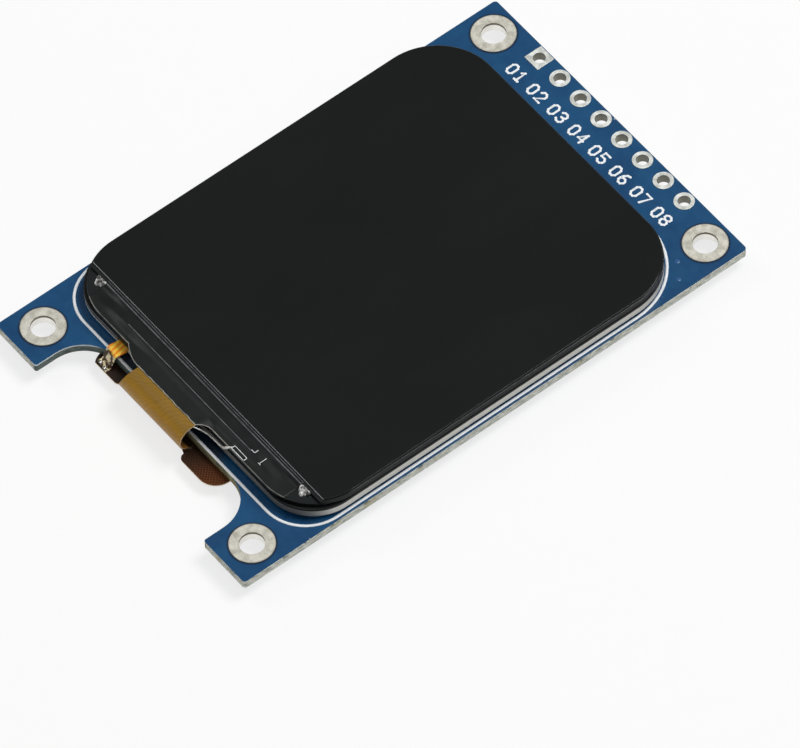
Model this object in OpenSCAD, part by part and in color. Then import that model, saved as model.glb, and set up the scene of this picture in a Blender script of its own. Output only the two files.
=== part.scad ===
// Small colour display module: a rounded glass panel with an edge-lit backlight,
// taped to a notched circuit board with four corner holes and a row of pin holes.
// Lies on its back: +Z comes out of the display face, +Y points to the pin row.
// Origin: centre of the board outline, level with the lowest part on the back.

/* [Board] */
// Width of the board, across the display
board_w = 30.9; // [28.5:0.1:36]
// Length of the board, from the ear ends to the pin row edge
board_l = 48.5; // [44:0.1:54]
// Thickness of the board
board_t = 0.8; // [0.6:0.1:1.6]
// Radius of the board's outer corners
board_r = 0.3; // [0.2:0.1:1.4]
// Width of each of the two ears beside the notch
ear_w = 5; // [4.6:0.1:5.4]
// Depth of the notch, from the ear ends
notch_d = 5.2; // [4.2:0.1:5.6]
// Radius of the inner corners of the notch
notch_r = 3.3; // [1:0.1:3.6]
// Radius at the inner tips of the ears
ear_r = 0.2; // [0.1:0.1:0.8]

/* [Mounting holes] */
// Finished diameter of the four mounting holes
hole_d = 2; // [1.6:0.1:2.4]
// Distance from a mounting hole to the side of the board
hole_side = 2.45; // [2.3:0.05:2.6]
// Distance from a mounting hole to the edge at the pin row
hole_head = 2.15; // [2:0.05:2.4]
// Distance from a mounting hole to the end of its ear
hole_foot = 2.65; // [2.3:0.05:2.9]
// Outer diameter of the tinned ring round a mounting hole
ring_d = 3.6; // [3:0.1:3.8]
// Thickness of the tinned copper on the board's faces
copper_t = 0.05; // [0.03:0.01:0.1]
// Thickness of the plating inside a hole
plating_t = 0.018; // [0.012:0.001:0.019]

/* [Pin row] */
// Number of pin holes
pin_n = 8; // [4:1:8]
// Distance between pin holes
pin_pitch = 2.54; // [2:0.01:2.6]
// Finished diameter of a pin hole
pin_hole = 1; // [0.8:0.05:1.1]
// Width of the pad round a pin hole
pin_pad = 1.65; // [1.5:0.05:1.75]
// Distance from the board edge to the pin row
pin_edge = 0.9; // [0.88:0.01:1.2]

/* [Display panel] */
// Bare board beside the panel, each side
panel_side = 0.415; // [0.3:0.005:0.8]
// Bare board between the panel and the edge at the pin row
panel_head = 5.02; // [4.9:0.01:5.6]
// Setback of the panel from the floor of the notch
lcd_set = 0.85; // [0.6:0.05:1]
// Corner radius of the panel at the pin row end
head_r = 5.3; // [4:0.1:6]
// Corner radius of the backlight at the notch end
foot_r = 4.1; // [3:0.1:5]
// Corner radius of the glass at the notch end
glass_foot_r = 4.8; // [4.4:0.1:6.4]
// Thickness of each sheet of glass
glass_t = 0.25; // [0.2:0.01:0.3]
// Length of the bare ledge on the lower glass
ledge = 2.15; // [2:0.05:2.6]
// Thickness of a polariser
pol_t = 0.13; // [0.1:0.01:0.2]
// Inset of the polarisers from the glass edge
pol_inset = 0.12; // [0.05:0.01:0.3]
// Strip of upper glass left bare beside the ledge
bare_glass = 0.3; // [0.2:0.05:0.5]
// Length of the driver chip
chip_l = 15.2; // [12:0.1:18]
// Width of the driver chip
chip_w = 0.8; // [0.6:0.05:0.9]
// Sideways place of the driver chip
chip_x = -0.35; // [-1:0.05:1]
// Gap between the upper glass and the driver chip
chip_gap = 0.3; // [0.2:0.05:0.4]
// Distance from the black film over the ledge to the side of the panel
film_side = 2.935; // [2.8:0.005:4]
// Thickness of the black film over the ledge
film_t = 0.05; // [0.03:0.01:0.08]
// Reach of the film along the flex, past the glass
film_reach = 0.8; // [0.3:0.05:0.85]
// Radius of the clear beads at the ends of the upper glass
bead_r = 0.36; // [0.3:0.02:0.38]

/* [Backlight] */
// Thickness of the foam tape under the panel
foam_t = 0.3; // [0.2:0.05:0.6]
// Inset of the foam tape from the panel edge
foam_inset = 0.9; // [0.5:0.1:2]
// Sheet thickness of the steel tray
tray_t = 0.1; // [0.08:0.01:0.15]
// Height of the steel tray
tray_h = 0.6; // [0.45:0.05:0.65]
// Width of the frame at the sides and the pin row end
frame_wall = 0.9; // [0.7:0.05:1]
// Width of the frame at the notch end
frame_foot = 0.7; // [0.5:0.05:0.8]
// Thickness of the reflector sheet
reflector_t = 0.08; // [0.05:0.01:0.12]
// Thickness of the light guide
guide_t = 0.4; // [0.35:0.05:0.6]
// Thickness of the diffuser sheet
diffuser_t = 0.06; // [0.04:0.01:0.1]
// Thickness of one prism sheet
prism_t = 0.065; // [0.05:0.005:0.1]
// Clearance round the sheets in the frame
sheet_gap = 0.1; // [0.05:0.01:0.15]
// Thickness of the black rim tape
rim_t = 0.06; // [0.04:0.01:0.1]
// Width of the rim tape at the sides and the pin row end
rim_w = 1.3; // [1.2:0.05:1.6]
// Width of the rim tape at the notch end
rim_foot = 2.6; // [2.4:0.05:3]
// Number of lamps
led_n = 3; // [2:1:4]
// Distance between lamps
led_pitch = 6; // [4:0.1:6]
// Length of a lamp
led_l = 3; // [2:0.1:3.6]
// Depth of a lamp
led_d = 0.8; // [0.6:0.05:0.9]
// Wall round the window of a lamp
led_wall = 0.08; // [0.05:0.01:0.12]
// Depth of the window of a lamp
led_window = 0.2; // [0.1:0.05:0.4]
// Thickness of the lamp strip and its tab
strip_t = 0.08; // [0.06:0.01:0.1]
// Length of the lamp strip past the outermost lamp or the tab
strip_end = 0.8; // [0.4:0.1:1.5]

/* [Lamp tab] */
// Width of the tab
tab_w = 1.3; // [1:0.05:1.6]
// Distance from the middle of the tab to the outer edge of its shoulder
tab_side = 1.38; // [1.3:0.02:1.6]
// How far before the floor of the notch the tab starts to bend down
tab_before = 0.1; // [0:0.02:0.12]
// Slope of the tab on its way down
tab_slope = 64; // [50:1:65]
// Inner radius of the tab's bends
tab_bend = 0.3; // [0.2:0.05:0.4]
// Length of the tab's foot on the flex
tab_foot = 0.2; // [0.2:0.05:0.4]
// Width of each solder joint on the tab's foot
tab_joint = 0.4; // [0.3:0.05:0.5]
// Sideways turn of the tab outside the panel
tab_turn = 8; // [0:1:9]
// Clearance round the tab in the walls of the backlight
tab_gap = 0.1; // [0.05:0.01:0.2]

/* [Main flex] */
// Thickness of the flex
flex_t = 0.12; // [0.08:0.01:0.15]
// Sideways place of the middle of the flex
flex_x = -0.93; // [-1.2:0.01:-0.6]
// Length of the neck bonded to the glass
bond = 0.7; // [0.5:0.05:0.8]
// How far past the floor of the notch the fold starts
fold_past = 0.15; // [0.1:0.05:0.4]
// Growth of the neck's one side through the fold
neck_flare = 0.9; // [0:0.1:0.9]
// Slit between the neck and a shoulder
slit = 0.1; // [0.05:0.05:0.35]
// Rim of the shoulder past the foot of the lamp tab
shoulder_rim = 0.1; // [0.1:0.05:0.5]
// How far the bare shoulder runs past the one with the lamp tab
bare_past = 0.5; // [0.2:0.1:0.8]
// Gap between a shoulder and the side of the notch, with the flex in the middle
shoulder_gap = 2.6; // [2.2:0.1:2.8]
// Width of the shoulder that carries the lamp tab
tab_shoulder = 3.325; // [3:0.025:3.4]
// Width of the other shoulder
bare_shoulder = 4.225; // [3.5:0.025:4.4]
// Radius of the shoulders' outer corners in the notch
shoulder_r = 1.6; // [0.6:0.1:1.8]
// Radius of the shoulders' other corners
slit_r = 0.5; // [0.3:0.1:1]
// Length of the shoulders under the board
shoulder_in = 1.7; // [1.5:0.1:3]
// Width of the tail
tail_w = 10.4; // [9.6:0.1:12]
// Length of the tail, past the shoulders
tail_l = 8.5; // [6:0.1:10]
// Number of soldered tail contacts
tail_n = 12; // [8:1:12]
// Distance between tail contacts
tail_pitch = 0.8; // [0.6:0.05:0.8]
// Width of one tail contact
tail_pad = 0.46; // [0.3:0.02:0.5]
// Length of one tail contact
tail_joint = 1.4; // [1:0.1:2]

/* [Parts on the back] */
// Height of the two three-legged parts
sot_h = 1.1; // [1.06:0.02:1.4]
// Length of their bodies
sot_l = 2.9; // [2.8:0.05:3.1]
// Width of their bodies
sot_w = 1.3; // [1.2:0.05:1.5]
// Gap between their bodies and the board
sot_gap = 0.1; // [0.05:0.01:0.15]
// Draft of their bodies, each side
sot_draft = 0.08; // [0:0.01:0.12]
// Distance from the middle of the board to each of them
sot_x = 8.5; // [8:0.1:9]
// Distance from the row of parts to the edge at the pin row
row_edge = 8.75; // [7.5:0.05:10]
// Distance between the legs on the two-legged side
leg_pitch = 0.95; // [0.9:0.01:1]
// Width of a leg
leg_w = 0.4; // [0.3:0.02:0.45]
// Thickness of a leg
leg_t = 0.12; // [0.08:0.01:0.15]
// Reach of a leg from the body
leg_out = 0.55; // [0.45:0.05:0.7]
// Length of a leg's foot
leg_foot = 0.3; // [0.2:0.02:0.34]
// Length of a chip part
chip_part_l = 1.6; // [1.4:0.1:2]
// Width of a chip part
chip_part_w = 0.8; // [0.6:0.05:1]
// Length of a chip part's end cap
cap_l = 0.3; // [0.2:0.05:0.4]
// Height of a capacitor
capacitor_h = 0.8; // [0.5:0.05:0.9]
// Height of a resistor
resistor_h = 0.45; // [0.3:0.05:0.6]
// Distance from a three-legged part to the chip part beside it
beside = 3.4; // [3.2:0.1:3.6]
// Run of solder in front of an end cap
fillet = 0.3; // [0.15:0.05:0.4]
// Rise of solder up an end cap
fillet_rise = 0.3; // [0.15:0.05:0.3]
// Run of solder in front of a leg
toe = 0.15; // [0.1:0.05:0.3]

/* [Hidden] */
$fn = 64;
over = 1; // how far a cutter runs past what it cuts

// Heights, counted up from the lowest part on the back
z_back = sot_h;
z_front = z_back + board_t;
z_tray = z_front + foam_t;
z_floor = z_tray + tray_t;
z_guide = z_floor + reflector_t;
z_diffuser = z_guide + guide_t;
z_prism = z_diffuser + diffuser_t;
z_rim = z_prism + 2 * prism_t;
z_pol = z_rim + rim_t;
z_array = z_pol + pol_t;
z_filter = z_array + glass_t;
z_top_pol = z_filter + glass_t;

// The notch and the panel, from the board and the room left round them
notch_w = board_w - 2 * ear_w;
lcd_w = board_w - 2 * panel_side;
lcd_l = board_l - notch_d - lcd_set - panel_head;
film_w = lcd_w - 2 * film_side;

// Places along the board
y_ear = -board_l / 2;
y_edge = board_l / 2;
y_notch = y_ear + notch_d;
y_foot = y_notch + lcd_set;
y_head = y_foot + lcd_l;
y_filter = y_foot + ledge;
y_pol = y_filter + bare_glass;
y_chip = y_filter - chip_gap - chip_w;
y_pocket = y_foot + frame_foot;
y_guide = y_pocket + led_d + 2 * sheet_gap;
y_pins = y_edge - pin_edge;
row_y = y_edge - row_edge;
y_fold = y_notch - fold_past;
y_tail = y_fold + shoulder_in;
y_tail_end = y_tail + tail_l;
neck_out = y_foot - y_fold;

// The neck fills the room between the two shoulders and their slits.
// The fold of the flex reaches from the lower glass round to the back of the board.
shoulder_w = notch_w - 2 * shoulder_gap;
shoulder_side = flex_x - shoulder_w / 2;
fold_w = shoulder_w - tab_shoulder - bare_shoulder - 2 * slit;
fold_side = shoulder_side + tab_shoulder + slit;
fold_r = (z_filter - z_back) / 2;
neck_w = fold_w - neck_flare;
neck_side = fold_side + neck_flare;
tab_x = shoulder_side + tab_side;
pocket_w = lcd_w - 2 * frame_wall;
bodies_h = sot_h - sot_gap;

// Height that the lamp tab loses, the length of its slope and its reach to the foot
tab_drop = z_floor - z_back;
tab_bends = 2 * tab_bend + strip_t;
tab_fall = (tab_drop - tab_bends * (1 - cos(tab_slope))) / sin(tab_slope);
tab_out = lcd_set - tab_before;
tab_reach = tab_out + tab_bends * sin(tab_slope) + tab_fall * cos(tab_slope);
y_shoulder = y_foot - (tab_reach + tab_foot) * cos(tab_turn) - shoulder_rim;
y_bare = y_shoulder - bare_past;
strip_half = max((led_n - 1) / 2 * led_pitch + led_l / 2, tab_w / 2 - tab_x) + strip_end;

// Removes the square corner at a point; dx and dy point into the sheet
module corner_cut(x, y, dx, dy, r) {
    translate([x, y])
        difference() {
            translate([(r - over) / 2 * dx, (r - over) / 2 * dy])
                square(r + over, center = true);
            translate([r * dx, r * dy])
                circle(r);
        }
}

// Sheet with one radius at its two foot corners and another at its two head corners
module sheet_outline(w, y0, y1, r_foot, r_head) {
    difference() {
        translate([-w / 2, y0])
            square([w, y1 - y0]);
        for (side = [-1, 1]) {
            corner_cut(side * w / 2, y0, -side, 1, r_foot);
            corner_cut(side * w / 2, y1, -side, -1, r_head);
        }
    }
}

// Outline of the display panel, set in by a margin
module panel_outline(inset, r_foot) {
    sheet_outline(lcd_w - 2 * inset, y_foot + inset, y_head - inset, r_foot - inset, head_r - inset);
}

// Slab of the panel outline between two heights
module panel_slab(inset, r_foot, z0, h) {
    translate([0, 0, z0])
        linear_extrude(h)
            panel_outline(inset, r_foot);
}

// Everything on the +Y side of a line, as a tall block
module beyond(y) {
    translate([-board_w, y, -over])
        cube([2 * board_w, board_l, z_top_pol + board_l]);
}

// Repeats its children at the four mounting holes
module at_holes() {
    for (side = [-1, 1], y = [y_ear + hole_foot, y_edge - hole_head])
        translate([side * (board_w / 2 - hole_side), y, 0])
            children();
}

// Place of a pin hole across the board; number 0 is on the -X side
function pin_x(i) = (i - (pin_n - 1) / 2) * pin_pitch;

// Plated hole: a flange on each face of the board and a lining between them
module plated_hole(bore) {
    difference() {
        union() {
            for (z = [z_back - copper_t, z_front])
                translate([0, 0, z])
                    linear_extrude(copper_t)
                        children();
            translate([0, 0, z_back])
                cylinder(d = bore + 2 * plating_t, h = board_t);
        }
        translate([0, 0, z_back - over])
            cylinder(d = bore, h = board_t + 2 * over);
    }
}

// Bent strips run along +X, with their width along Y and their lower face at z = 0.
// Each piece of a strip puts its children at its far end.
module strip_run(w, t, l) {
    translate([0, -w / 2, 0])
        cube([l, w, t]);
    translate([l, 0, 0])
        children();
}

module bend_arc(w, t, r, a) {
    translate([0, w / 2, -r])
        rotate([90, 0, 0])
            rotate([0, 0, 90 - a])
                rotate_extrude(angle = a)
                    translate([r, 0])
                        square([t, w]);
}

module strip_down(w, t, r, a) {
    bend_arc(w, t, r, a);
    translate([r * sin(a), 0, r * cos(a) - r])
        rotate([0, a, 0])
            children();
}

module strip_up(w, t, r, a) {
    translate([0, 0, t])
        mirror([0, 0, 1])
            bend_arc(w, t, r, a);
    translate([(r + t) * sin(a), 0, (r + t) * (1 - cos(a))])
        rotate([0, -a, 0])
            children();
}

// Board with its notch, its four mounting holes and its row of pin holes
module board() {
    color("#234b7a")
        difference() {
            translate([0, 0, z_back])
                linear_extrude(board_t)
                    board_outline();
            at_holes()
                translate([0, 0, z_back - over])
                    cylinder(d = hole_d + 2 * plating_t, h = board_t + 2 * over);
            for (i = [0 : pin_n - 1])
                translate([pin_x(i), y_pins, z_back - over])
                    cylinder(d = pin_hole + 2 * plating_t, h = board_t + 2 * over);
        }
}

module board_outline() {
    difference() {
        sheet_outline(board_w, y_ear, y_edge, board_r, board_r);
        sheet_outline(notch_w, y_ear - notch_r - over, y_notch, ear_r, notch_r);
        for (side = [-1, 1])
            corner_cut(side * notch_w / 2, y_ear, side, 1, ear_r);
    }
}

module hole_rings() {
    color("#c8c0af")
        at_holes()
            plated_hole(hole_d)
                circle(d = ring_d);
}

// Pin hole 0 has a square pad, the others have round ones
module pin_pads() {
    color("#d8d4c8")
        for (i = [0 : pin_n - 1])
            translate([pin_x(i), y_pins, 0])
                plated_hole(pin_hole)
                    if (i == 0)
                        square(pin_pad, center = true);
                    else
                        circle(d = pin_pad);
}

module foam_tape() {
    color("#1c1c1e")
        panel_slab(foam_inset, foot_r, z_front, foam_t);
}

// Passage for the lamp tab through the notch end of the backlight
module tab_passage(z0, h) {
    translate([tab_x - tab_w / 2 - tab_gap, y_foot - over, z0])
        cube([tab_w + 2 * tab_gap, frame_foot + over + sheet_gap, h]);
}

// Pressed steel tray: a floor and a low wall, open where the lamp tab comes out
module backlight_tray() {
    color("#cdcbc3")
        difference() {
            panel_slab(0, foot_r, z_tray, tray_h);
            panel_slab(tray_t, foot_r, z_floor, tray_h);
            tab_passage(z_floor, tray_h);
        }
}

// Moulded frame: stands inside the tray and steps out over the tray's wall
module backlight_frame() {
    color("#202224")
        difference() {
            union() {
                panel_slab(tray_t, foot_r, z_floor, z_rim - z_floor);
                panel_slab(0, foot_r, z_tray + tray_h, z_rim - z_tray - tray_h);
            }
            translate([0, 0, z_floor - over])
                linear_extrude(z_rim)
                    pocket_outline(0);
            tab_passage(z_floor - over, over + strip_t + tab_gap);
        }
}

// Opening of the frame that holds the lamps and the sheets, set in by a clearance
module pocket_outline(inset) {
    sheet_outline(
        pocket_w - 2 * inset,
        y_pocket + inset,
        y_head - frame_wall - inset,
        foot_r - frame_wall - inset,
        head_r - frame_wall - inset
    );
}

// Sheet of the backlight stack: fills the frame from the lamps to the pin row end
module stack_sheet(z0, t) {
    intersection() {
        translate([0, 0, z0])
            linear_extrude(t)
                pocket_outline(sheet_gap);
        beyond(y_guide);
    }
}

module reflector() {
    color("#e8e8e6")
        stack_sheet(z_floor, reflector_t);
}

module light_guide() {
    color("#d5e3e8")
        stack_sheet(z_guide, guide_t);
}

module diffuser() {
    color("#f0f0ee")
        stack_sheet(z_diffuser, diffuser_t);
}

module lower_prism_sheet() {
    color("#dfe4e6")
        stack_sheet(z_prism, prism_t);
}

module upper_prism_sheet() {
    color("#dfe4e6")
        stack_sheet(z_prism + prism_t, prism_t);
}

// Black tape round the top of the frame, wide enough at the foot to hide the lamps
module rim_tape() {
    color("#151617")
        difference() {
            panel_slab(0, foot_r, z_rim, rim_t);
            translate([0, 0, z_rim - over])
                linear_extrude(rim_t + 2 * over)
                    sheet_outline(
                        lcd_w - 2 * rim_w,
                        y_foot + rim_foot,
                        y_head - rim_w,
                        foot_r - rim_w,
                        head_r - rim_w
                    );
        }
}

// Thin strip that carries the lamps, with a tab that leaves the backlight,
// slopes down past the board's notch and lies on a shoulder of the main flex
module lamp_strip() {
    color("#c98a2b")
        union() {
            translate([-strip_half, y_pocket + sheet_gap, z_floor])
                cube([2 * strip_half, y_guide - y_pocket - 2 * sheet_gap, strip_t]);
            translate([tab_x - tab_w / 2, y_foot, z_floor])
                cube([tab_w, frame_foot + 2 * sheet_gap, strip_t]);
            at_tab()
                strip_run(tab_w, strip_t, tab_out)
                    strip_down(tab_w, strip_t, tab_bend, tab_slope)
                        strip_run(tab_w, strip_t, tab_fall)
                            strip_up(tab_w, strip_t, tab_bend, tab_slope)
                                strip_run(tab_w, strip_t, tab_foot);
        }
}

// Puts its children where the tab leaves the panel, with +X along the tab
module at_tab() {
    translate([tab_x, y_foot, z_floor])
        rotate([0, 0, -90 - tab_turn])
            children();
}

module lamps() {
    y_lamp = y_pocket + sheet_gap + led_d / 2;
    color("#f4efd8")
        for (i = [0 : led_n - 1])
            translate([(i - (led_n - 1) / 2) * led_pitch, y_lamp, z_floor + strip_t])
                lamp();
}

// Side-lit lamp: a white case with a shallow window towards the light guide
module lamp() {
    difference() {
        translate([-led_l / 2, -led_d / 2, 0])
            cube([led_l, led_d, guide_t]);
        translate([led_wall - led_l / 2, led_d / 2 - led_window, led_wall])
            cube([led_l - 2 * led_wall, led_window + over, guide_t - 2 * led_wall]);
    }
}

module lower_polariser() {
    color("#2a2c2c")
        intersection() {
            panel_slab(pol_inset, glass_foot_r, z_pol, pol_t);
            beyond(y_filter);
        }
}

// Lower glass: carries the picture cells, the driver chip and the flex
module array_glass() {
    color("#3a4244")
        panel_slab(0, glass_foot_r, z_array, glass_t);
}

// Upper glass: stops short of the ledge
module filter_glass() {
    color("#2a2e2e")
        intersection() {
            panel_slab(0, glass_foot_r, z_filter, glass_t);
            beyond(y_filter);
        }
}

module upper_polariser() {
    color("#212322")
        intersection() {
            panel_slab(pol_inset, glass_foot_r, z_top_pol, pol_t);
            beyond(y_pol);
        }
}

module driver_chip() {
    color("#3b3c3e")
        translate([chip_x - chip_l / 2, y_chip, z_filter])
            cube([chip_l, chip_w, glass_t]);
}

// Black film: lies on the upper glass and the chip, slopes down to the flex
// and reaches a little way out along the neck
module ledge_film() {
    color("#1d1f1f")
        union() {
            intersection() {
                film_strip(-film_w / 2, film_w);
                panel_slab(0, glass_foot_r, z_array, z_top_pol);
            }
            film_strip(neck_side, neck_w);
        }
}

// Stretch of the film between two places across the panel, with its reach along the flex
module film_strip(x, w) {
    y_start = y_pol - pol_inset / 2;
    y_end = y_foot - film_reach;
    z_low = z_filter + flex_t;
    translate([x, 0, 0])
        rotate([90, 0, 90])
            linear_extrude(w)
                polygon([
                    [y_start, z_top_pol],
                    [y_chip, z_top_pol],
                    [y_foot, z_low],
                    [y_end, z_low],
                    [y_end, z_low + film_t],
                    [y_foot, z_low + film_t],
                    [y_chip, z_top_pol + film_t],
                    [y_start, z_top_pol + film_t]
                ]);
}

// Beads of clear sealant in the corner of the ledge and the upper glass
module edge_beads() {
    color("#b8bcc0")
        for (side = [-1, 1])
            translate([side * (film_w / 2 + bead_r + sheet_gap), y_filter, z_filter])
                intersection() {
                    sphere(bead_r);
                    translate([-bead_r, -bead_r, 0])
                        cube([2 * bead_r, bead_r, bead_r]);
                }
}

// Main flex: bonded to the ledge, folded round the foot of the panel and through the notch,
// with two round shoulders in the notch and a tail flat against the back of the board
module main_flex() {
    color("#966e2d")
        union() {
            flex_neck();
            translate([0, 0, z_back - flex_t])
                linear_extrude(flex_t)
                    tail_outline();
        }
}

// Neck and fold; one side of the neck grows wider as it goes round the fold
module flex_neck() {
    lean = atan(neck_flare / (2 * fold_r));
    difference() {
        translate([fold_side + fold_w / 2, y_foot + bond, z_filter])
            rotate([0, 0, -90])
                strip_run(fold_w, flex_t, bond + neck_out)
                    strip_down(fold_w, flex_t, fold_r, 180)
                        strip_run(fold_w, flex_t, shoulder_in);
        translate([neck_side, y_fold, z_filter])
            rotate([0, lean, 0])
                translate([-4 * fold_r, -4 * fold_r, -4 * fold_r])
                    cube([4 * fold_r, 8 * fold_r, 8 * fold_r]);
    }
}

module tail_outline() {
    slit_x = fold_side - slit;
    slit_w = fold_w + 2 * slit;
    difference() {
        union() {
            translate([flex_x, 0])
                sheet_outline(shoulder_w, y_bare, y_tail, shoulder_r, slit_r);
            translate([flex_x - tail_w / 2, y_fold])
                square([tail_w, y_tail_end - y_fold]);
        }
        translate([slit_x, y_bare - over])
            square([slit_w, y_fold - y_bare + over]);
        translate([shoulder_side - over, y_bare - over])
            square([tab_shoulder + 2 * over, bare_past + over]);
        corner_cut(shoulder_side, y_shoulder, 1, 1, slit_r);
        corner_cut(slit_x, y_shoulder, -1, 1, slit_r);
        corner_cut(slit_x + slit_w, y_bare, 1, 1, slit_r);
    }
}

// Soldered contacts: each lies over the end of the tail and runs on to the board
module tail_solder() {
    color("#c9c9c4")
        for (i = [0 : tail_n - 1])
            translate([flex_x + (i - (tail_n - 1) / 2) * tail_pitch, y_tail_end, z_back])
                tail_contact();
}

module tail_contact() {
    crown = tail_pad / 2 + flex_t;
    intersection() {
        difference() {
            translate([-tail_pad / 2, -tail_joint / 2, -crown])
                cube([tail_pad, tail_joint, crown]);
            translate([-tail_pad, -tail_joint, -flex_t])
                cube([2 * tail_pad, tail_joint, flex_t + over]);
        }
        translate([0, -tail_joint, -flex_t])
            rotate([-90, 0, 0])
                linear_extrude(2 * tail_joint)
                    union() {
                        circle(d = tail_pad);
                        translate([-tail_pad / 2, -flex_t])
                            square([tail_pad, flex_t]);
                    }
    }
}

// Two solder joints that hold the tab's foot to the shoulder of the flex
module tab_solder() {
    color("#dcd8cc")
        for (side = [-1, 1])
            at_tab()
                translate([tab_reach, side * tab_w / 4, strip_t - tab_drop])
                    rotate([90, 0, 90])
                        linear_extrude(tab_foot)
                            half_bead(tab_joint);
}

// Half a round bead standing on its flat side
module half_bead(w) {
    intersection() {
        circle(d = w);
        translate([-w / 2, 0])
            square([w, w / 2]);
    }
}

// Repeats its children at the two three-legged parts, hanging from the back of the board
module at_three_legs() {
    for (side = [-1, 1])
        translate([side * sot_x, row_y, z_back])
            rotate([180, 0, 0])
                children();
}

module three_leg_bodies() {
    color("#2b2b2d")
        at_three_legs()
            translate([-sot_l / 2, 0, 0])
                rotate([90, 0, 90])
                    linear_extrude(sot_l)
                        body_section();
}

// Moulded body, widest where the legs come out
module body_section() {
    mid = sot_gap + bodies_h / 2;
    polygon([
        [sot_w / 2 - sot_draft, sot_gap],
        [sot_w / 2, mid - leg_t / 2],
        [sot_w / 2, mid + leg_t / 2],
        [sot_w / 2 - sot_draft, sot_h],
        [-sot_w / 2 + sot_draft, sot_h],
        [-sot_w / 2, mid + leg_t / 2],
        [-sot_w / 2, mid - leg_t / 2],
        [-sot_w / 2 + sot_draft, sot_gap]
    ]);
}

// Repeats its children at the three legs of a part, each pointing along +X from the body
module at_legs() {
    for (x = [-leg_pitch, leg_pitch])
        translate([x, -sot_w / 2, 0])
            rotate([0, 0, -90])
                children();
    translate([0, sot_w / 2, 0])
        rotate([0, 0, 90])
            children();
}

module three_leg_legs() {
    color("#c4c4c0")
        at_three_legs()
            at_legs()
                leg();
}

// Gull-wing leg: out of the body, down to the board and along it
module leg() {
    mid = sot_gap + bodies_h / 2;
    knee = leg_out - leg_foot;
    translate([0, leg_w / 2, 0])
        rotate([90, 0, 0])
            linear_extrude(leg_w)
                polygon([
                    [0, mid - leg_t / 2],
                    [knee - leg_t, mid - leg_t / 2],
                    [knee - leg_t, 0],
                    [leg_out, 0],
                    [leg_out, leg_t],
                    [knee, leg_t],
                    [knee, mid + leg_t / 2],
                    [0, mid + leg_t / 2]
                ]);
}

// Repeats its children at the capacitors: beside the supply part and by the tail
module at_capacitors() {
    for (x = [-sot_x - beside, -sot_x + beside])
        translate([x, row_y, z_back])
            rotate([180, 0, 90])
                children();
    translate([flex_x, y_tail_end + chip_part_l + tail_joint, z_back])
        rotate([180, 0, 0])
            children();
}

// Repeats its children at the resistors: beside the switching part and by the tail
module at_resistors() {
    for (x = [sot_x - beside, sot_x + beside])
        translate([x, row_y, z_back])
            rotate([180, 0, 90])
                children();
    for (side = [-1, 1])
        translate([flex_x + side * 2 * chip_part_l, y_tail_end + chip_part_l + tail_joint, z_back])
            rotate([180, 0, 0])
                children();
}

module chip_body(h) {
    length = chip_part_l - 2 * cap_l;
    translate([-length / 2, -chip_part_w / 2, 0])
        cube([length, chip_part_w, h]);
}

module capacitor_bodies() {
    color("#a98a63")
        at_capacitors()
            chip_body(capacitor_h);
}

module resistor_bodies() {
    color("#26282b")
        at_resistors()
            chip_body(resistor_h);
}

// End caps of one chip part
module caps(h) {
    for (side = [-1, 1])
        translate([side * (chip_part_l - cap_l) / 2 - cap_l / 2, -chip_part_w / 2, 0])
            cube([cap_l, chip_part_w, h]);
}

module end_caps() {
    color("#cfcfca")
        union() {
            at_capacitors()
                caps(capacitor_h);
            at_resistors()
                caps(resistor_h);
        }
}

// Wedge of solder: rises along a wall at x = 0 and runs out along the board
module solder_wedge(w, run, rise) {
    translate([0, w / 2, 0])
        rotate([90, 0, 0])
            linear_extrude(w)
                polygon([[0, 0], [run, 0], [0, rise]]);
}

// Solder at both ends of a chip part
module chip_solder() {
    for (turn = [0, 180])
        rotate([0, 0, turn])
            translate([chip_part_l / 2, 0, 0])
                solder_wedge(chip_part_w, fillet, fillet_rise);
}

module part_solder() {
    color("#c2c2bd")
        union() {
            at_capacitors()
                chip_solder();
            at_resistors()
                chip_solder();
            at_three_legs()
                at_legs()
                    translate([leg_out, 0, 0])
                        solder_wedge(leg_w, toe, leg_t);
        }
}

board();
hole_rings();
pin_pads();
foam_tape();
backlight_tray();
backlight_frame();
reflector();
light_guide();
diffuser();
lower_prism_sheet();
upper_prism_sheet();
rim_tape();
lamp_strip();
lamps();
lower_polariser();
array_glass();
filter_glass();
upper_polariser();
driver_chip();
ledge_film();
edge_beads();
main_flex();
tail_solder();
tab_solder();
three_leg_bodies();
three_leg_legs();
capacitor_bodies();
resistor_bodies();
end_caps();
part_solder();
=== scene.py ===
# %% [markdown]
# # A rounded colour display on its carrier board
#
# A small screen with round corners is taped to a blue carrier board. A flexible circuit leaves the
# foot of the screen, folds through a notch between the board's two ears and is soldered on the back.
# Eight plated holes for a row of pins run along the other end.
#
# The CAD solids set every size and place. This lesson eases their edges, gives each one its finish,
# and adds what is too thin to be a solid: printed lines, covered tracks, creases and sealant.

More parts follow.
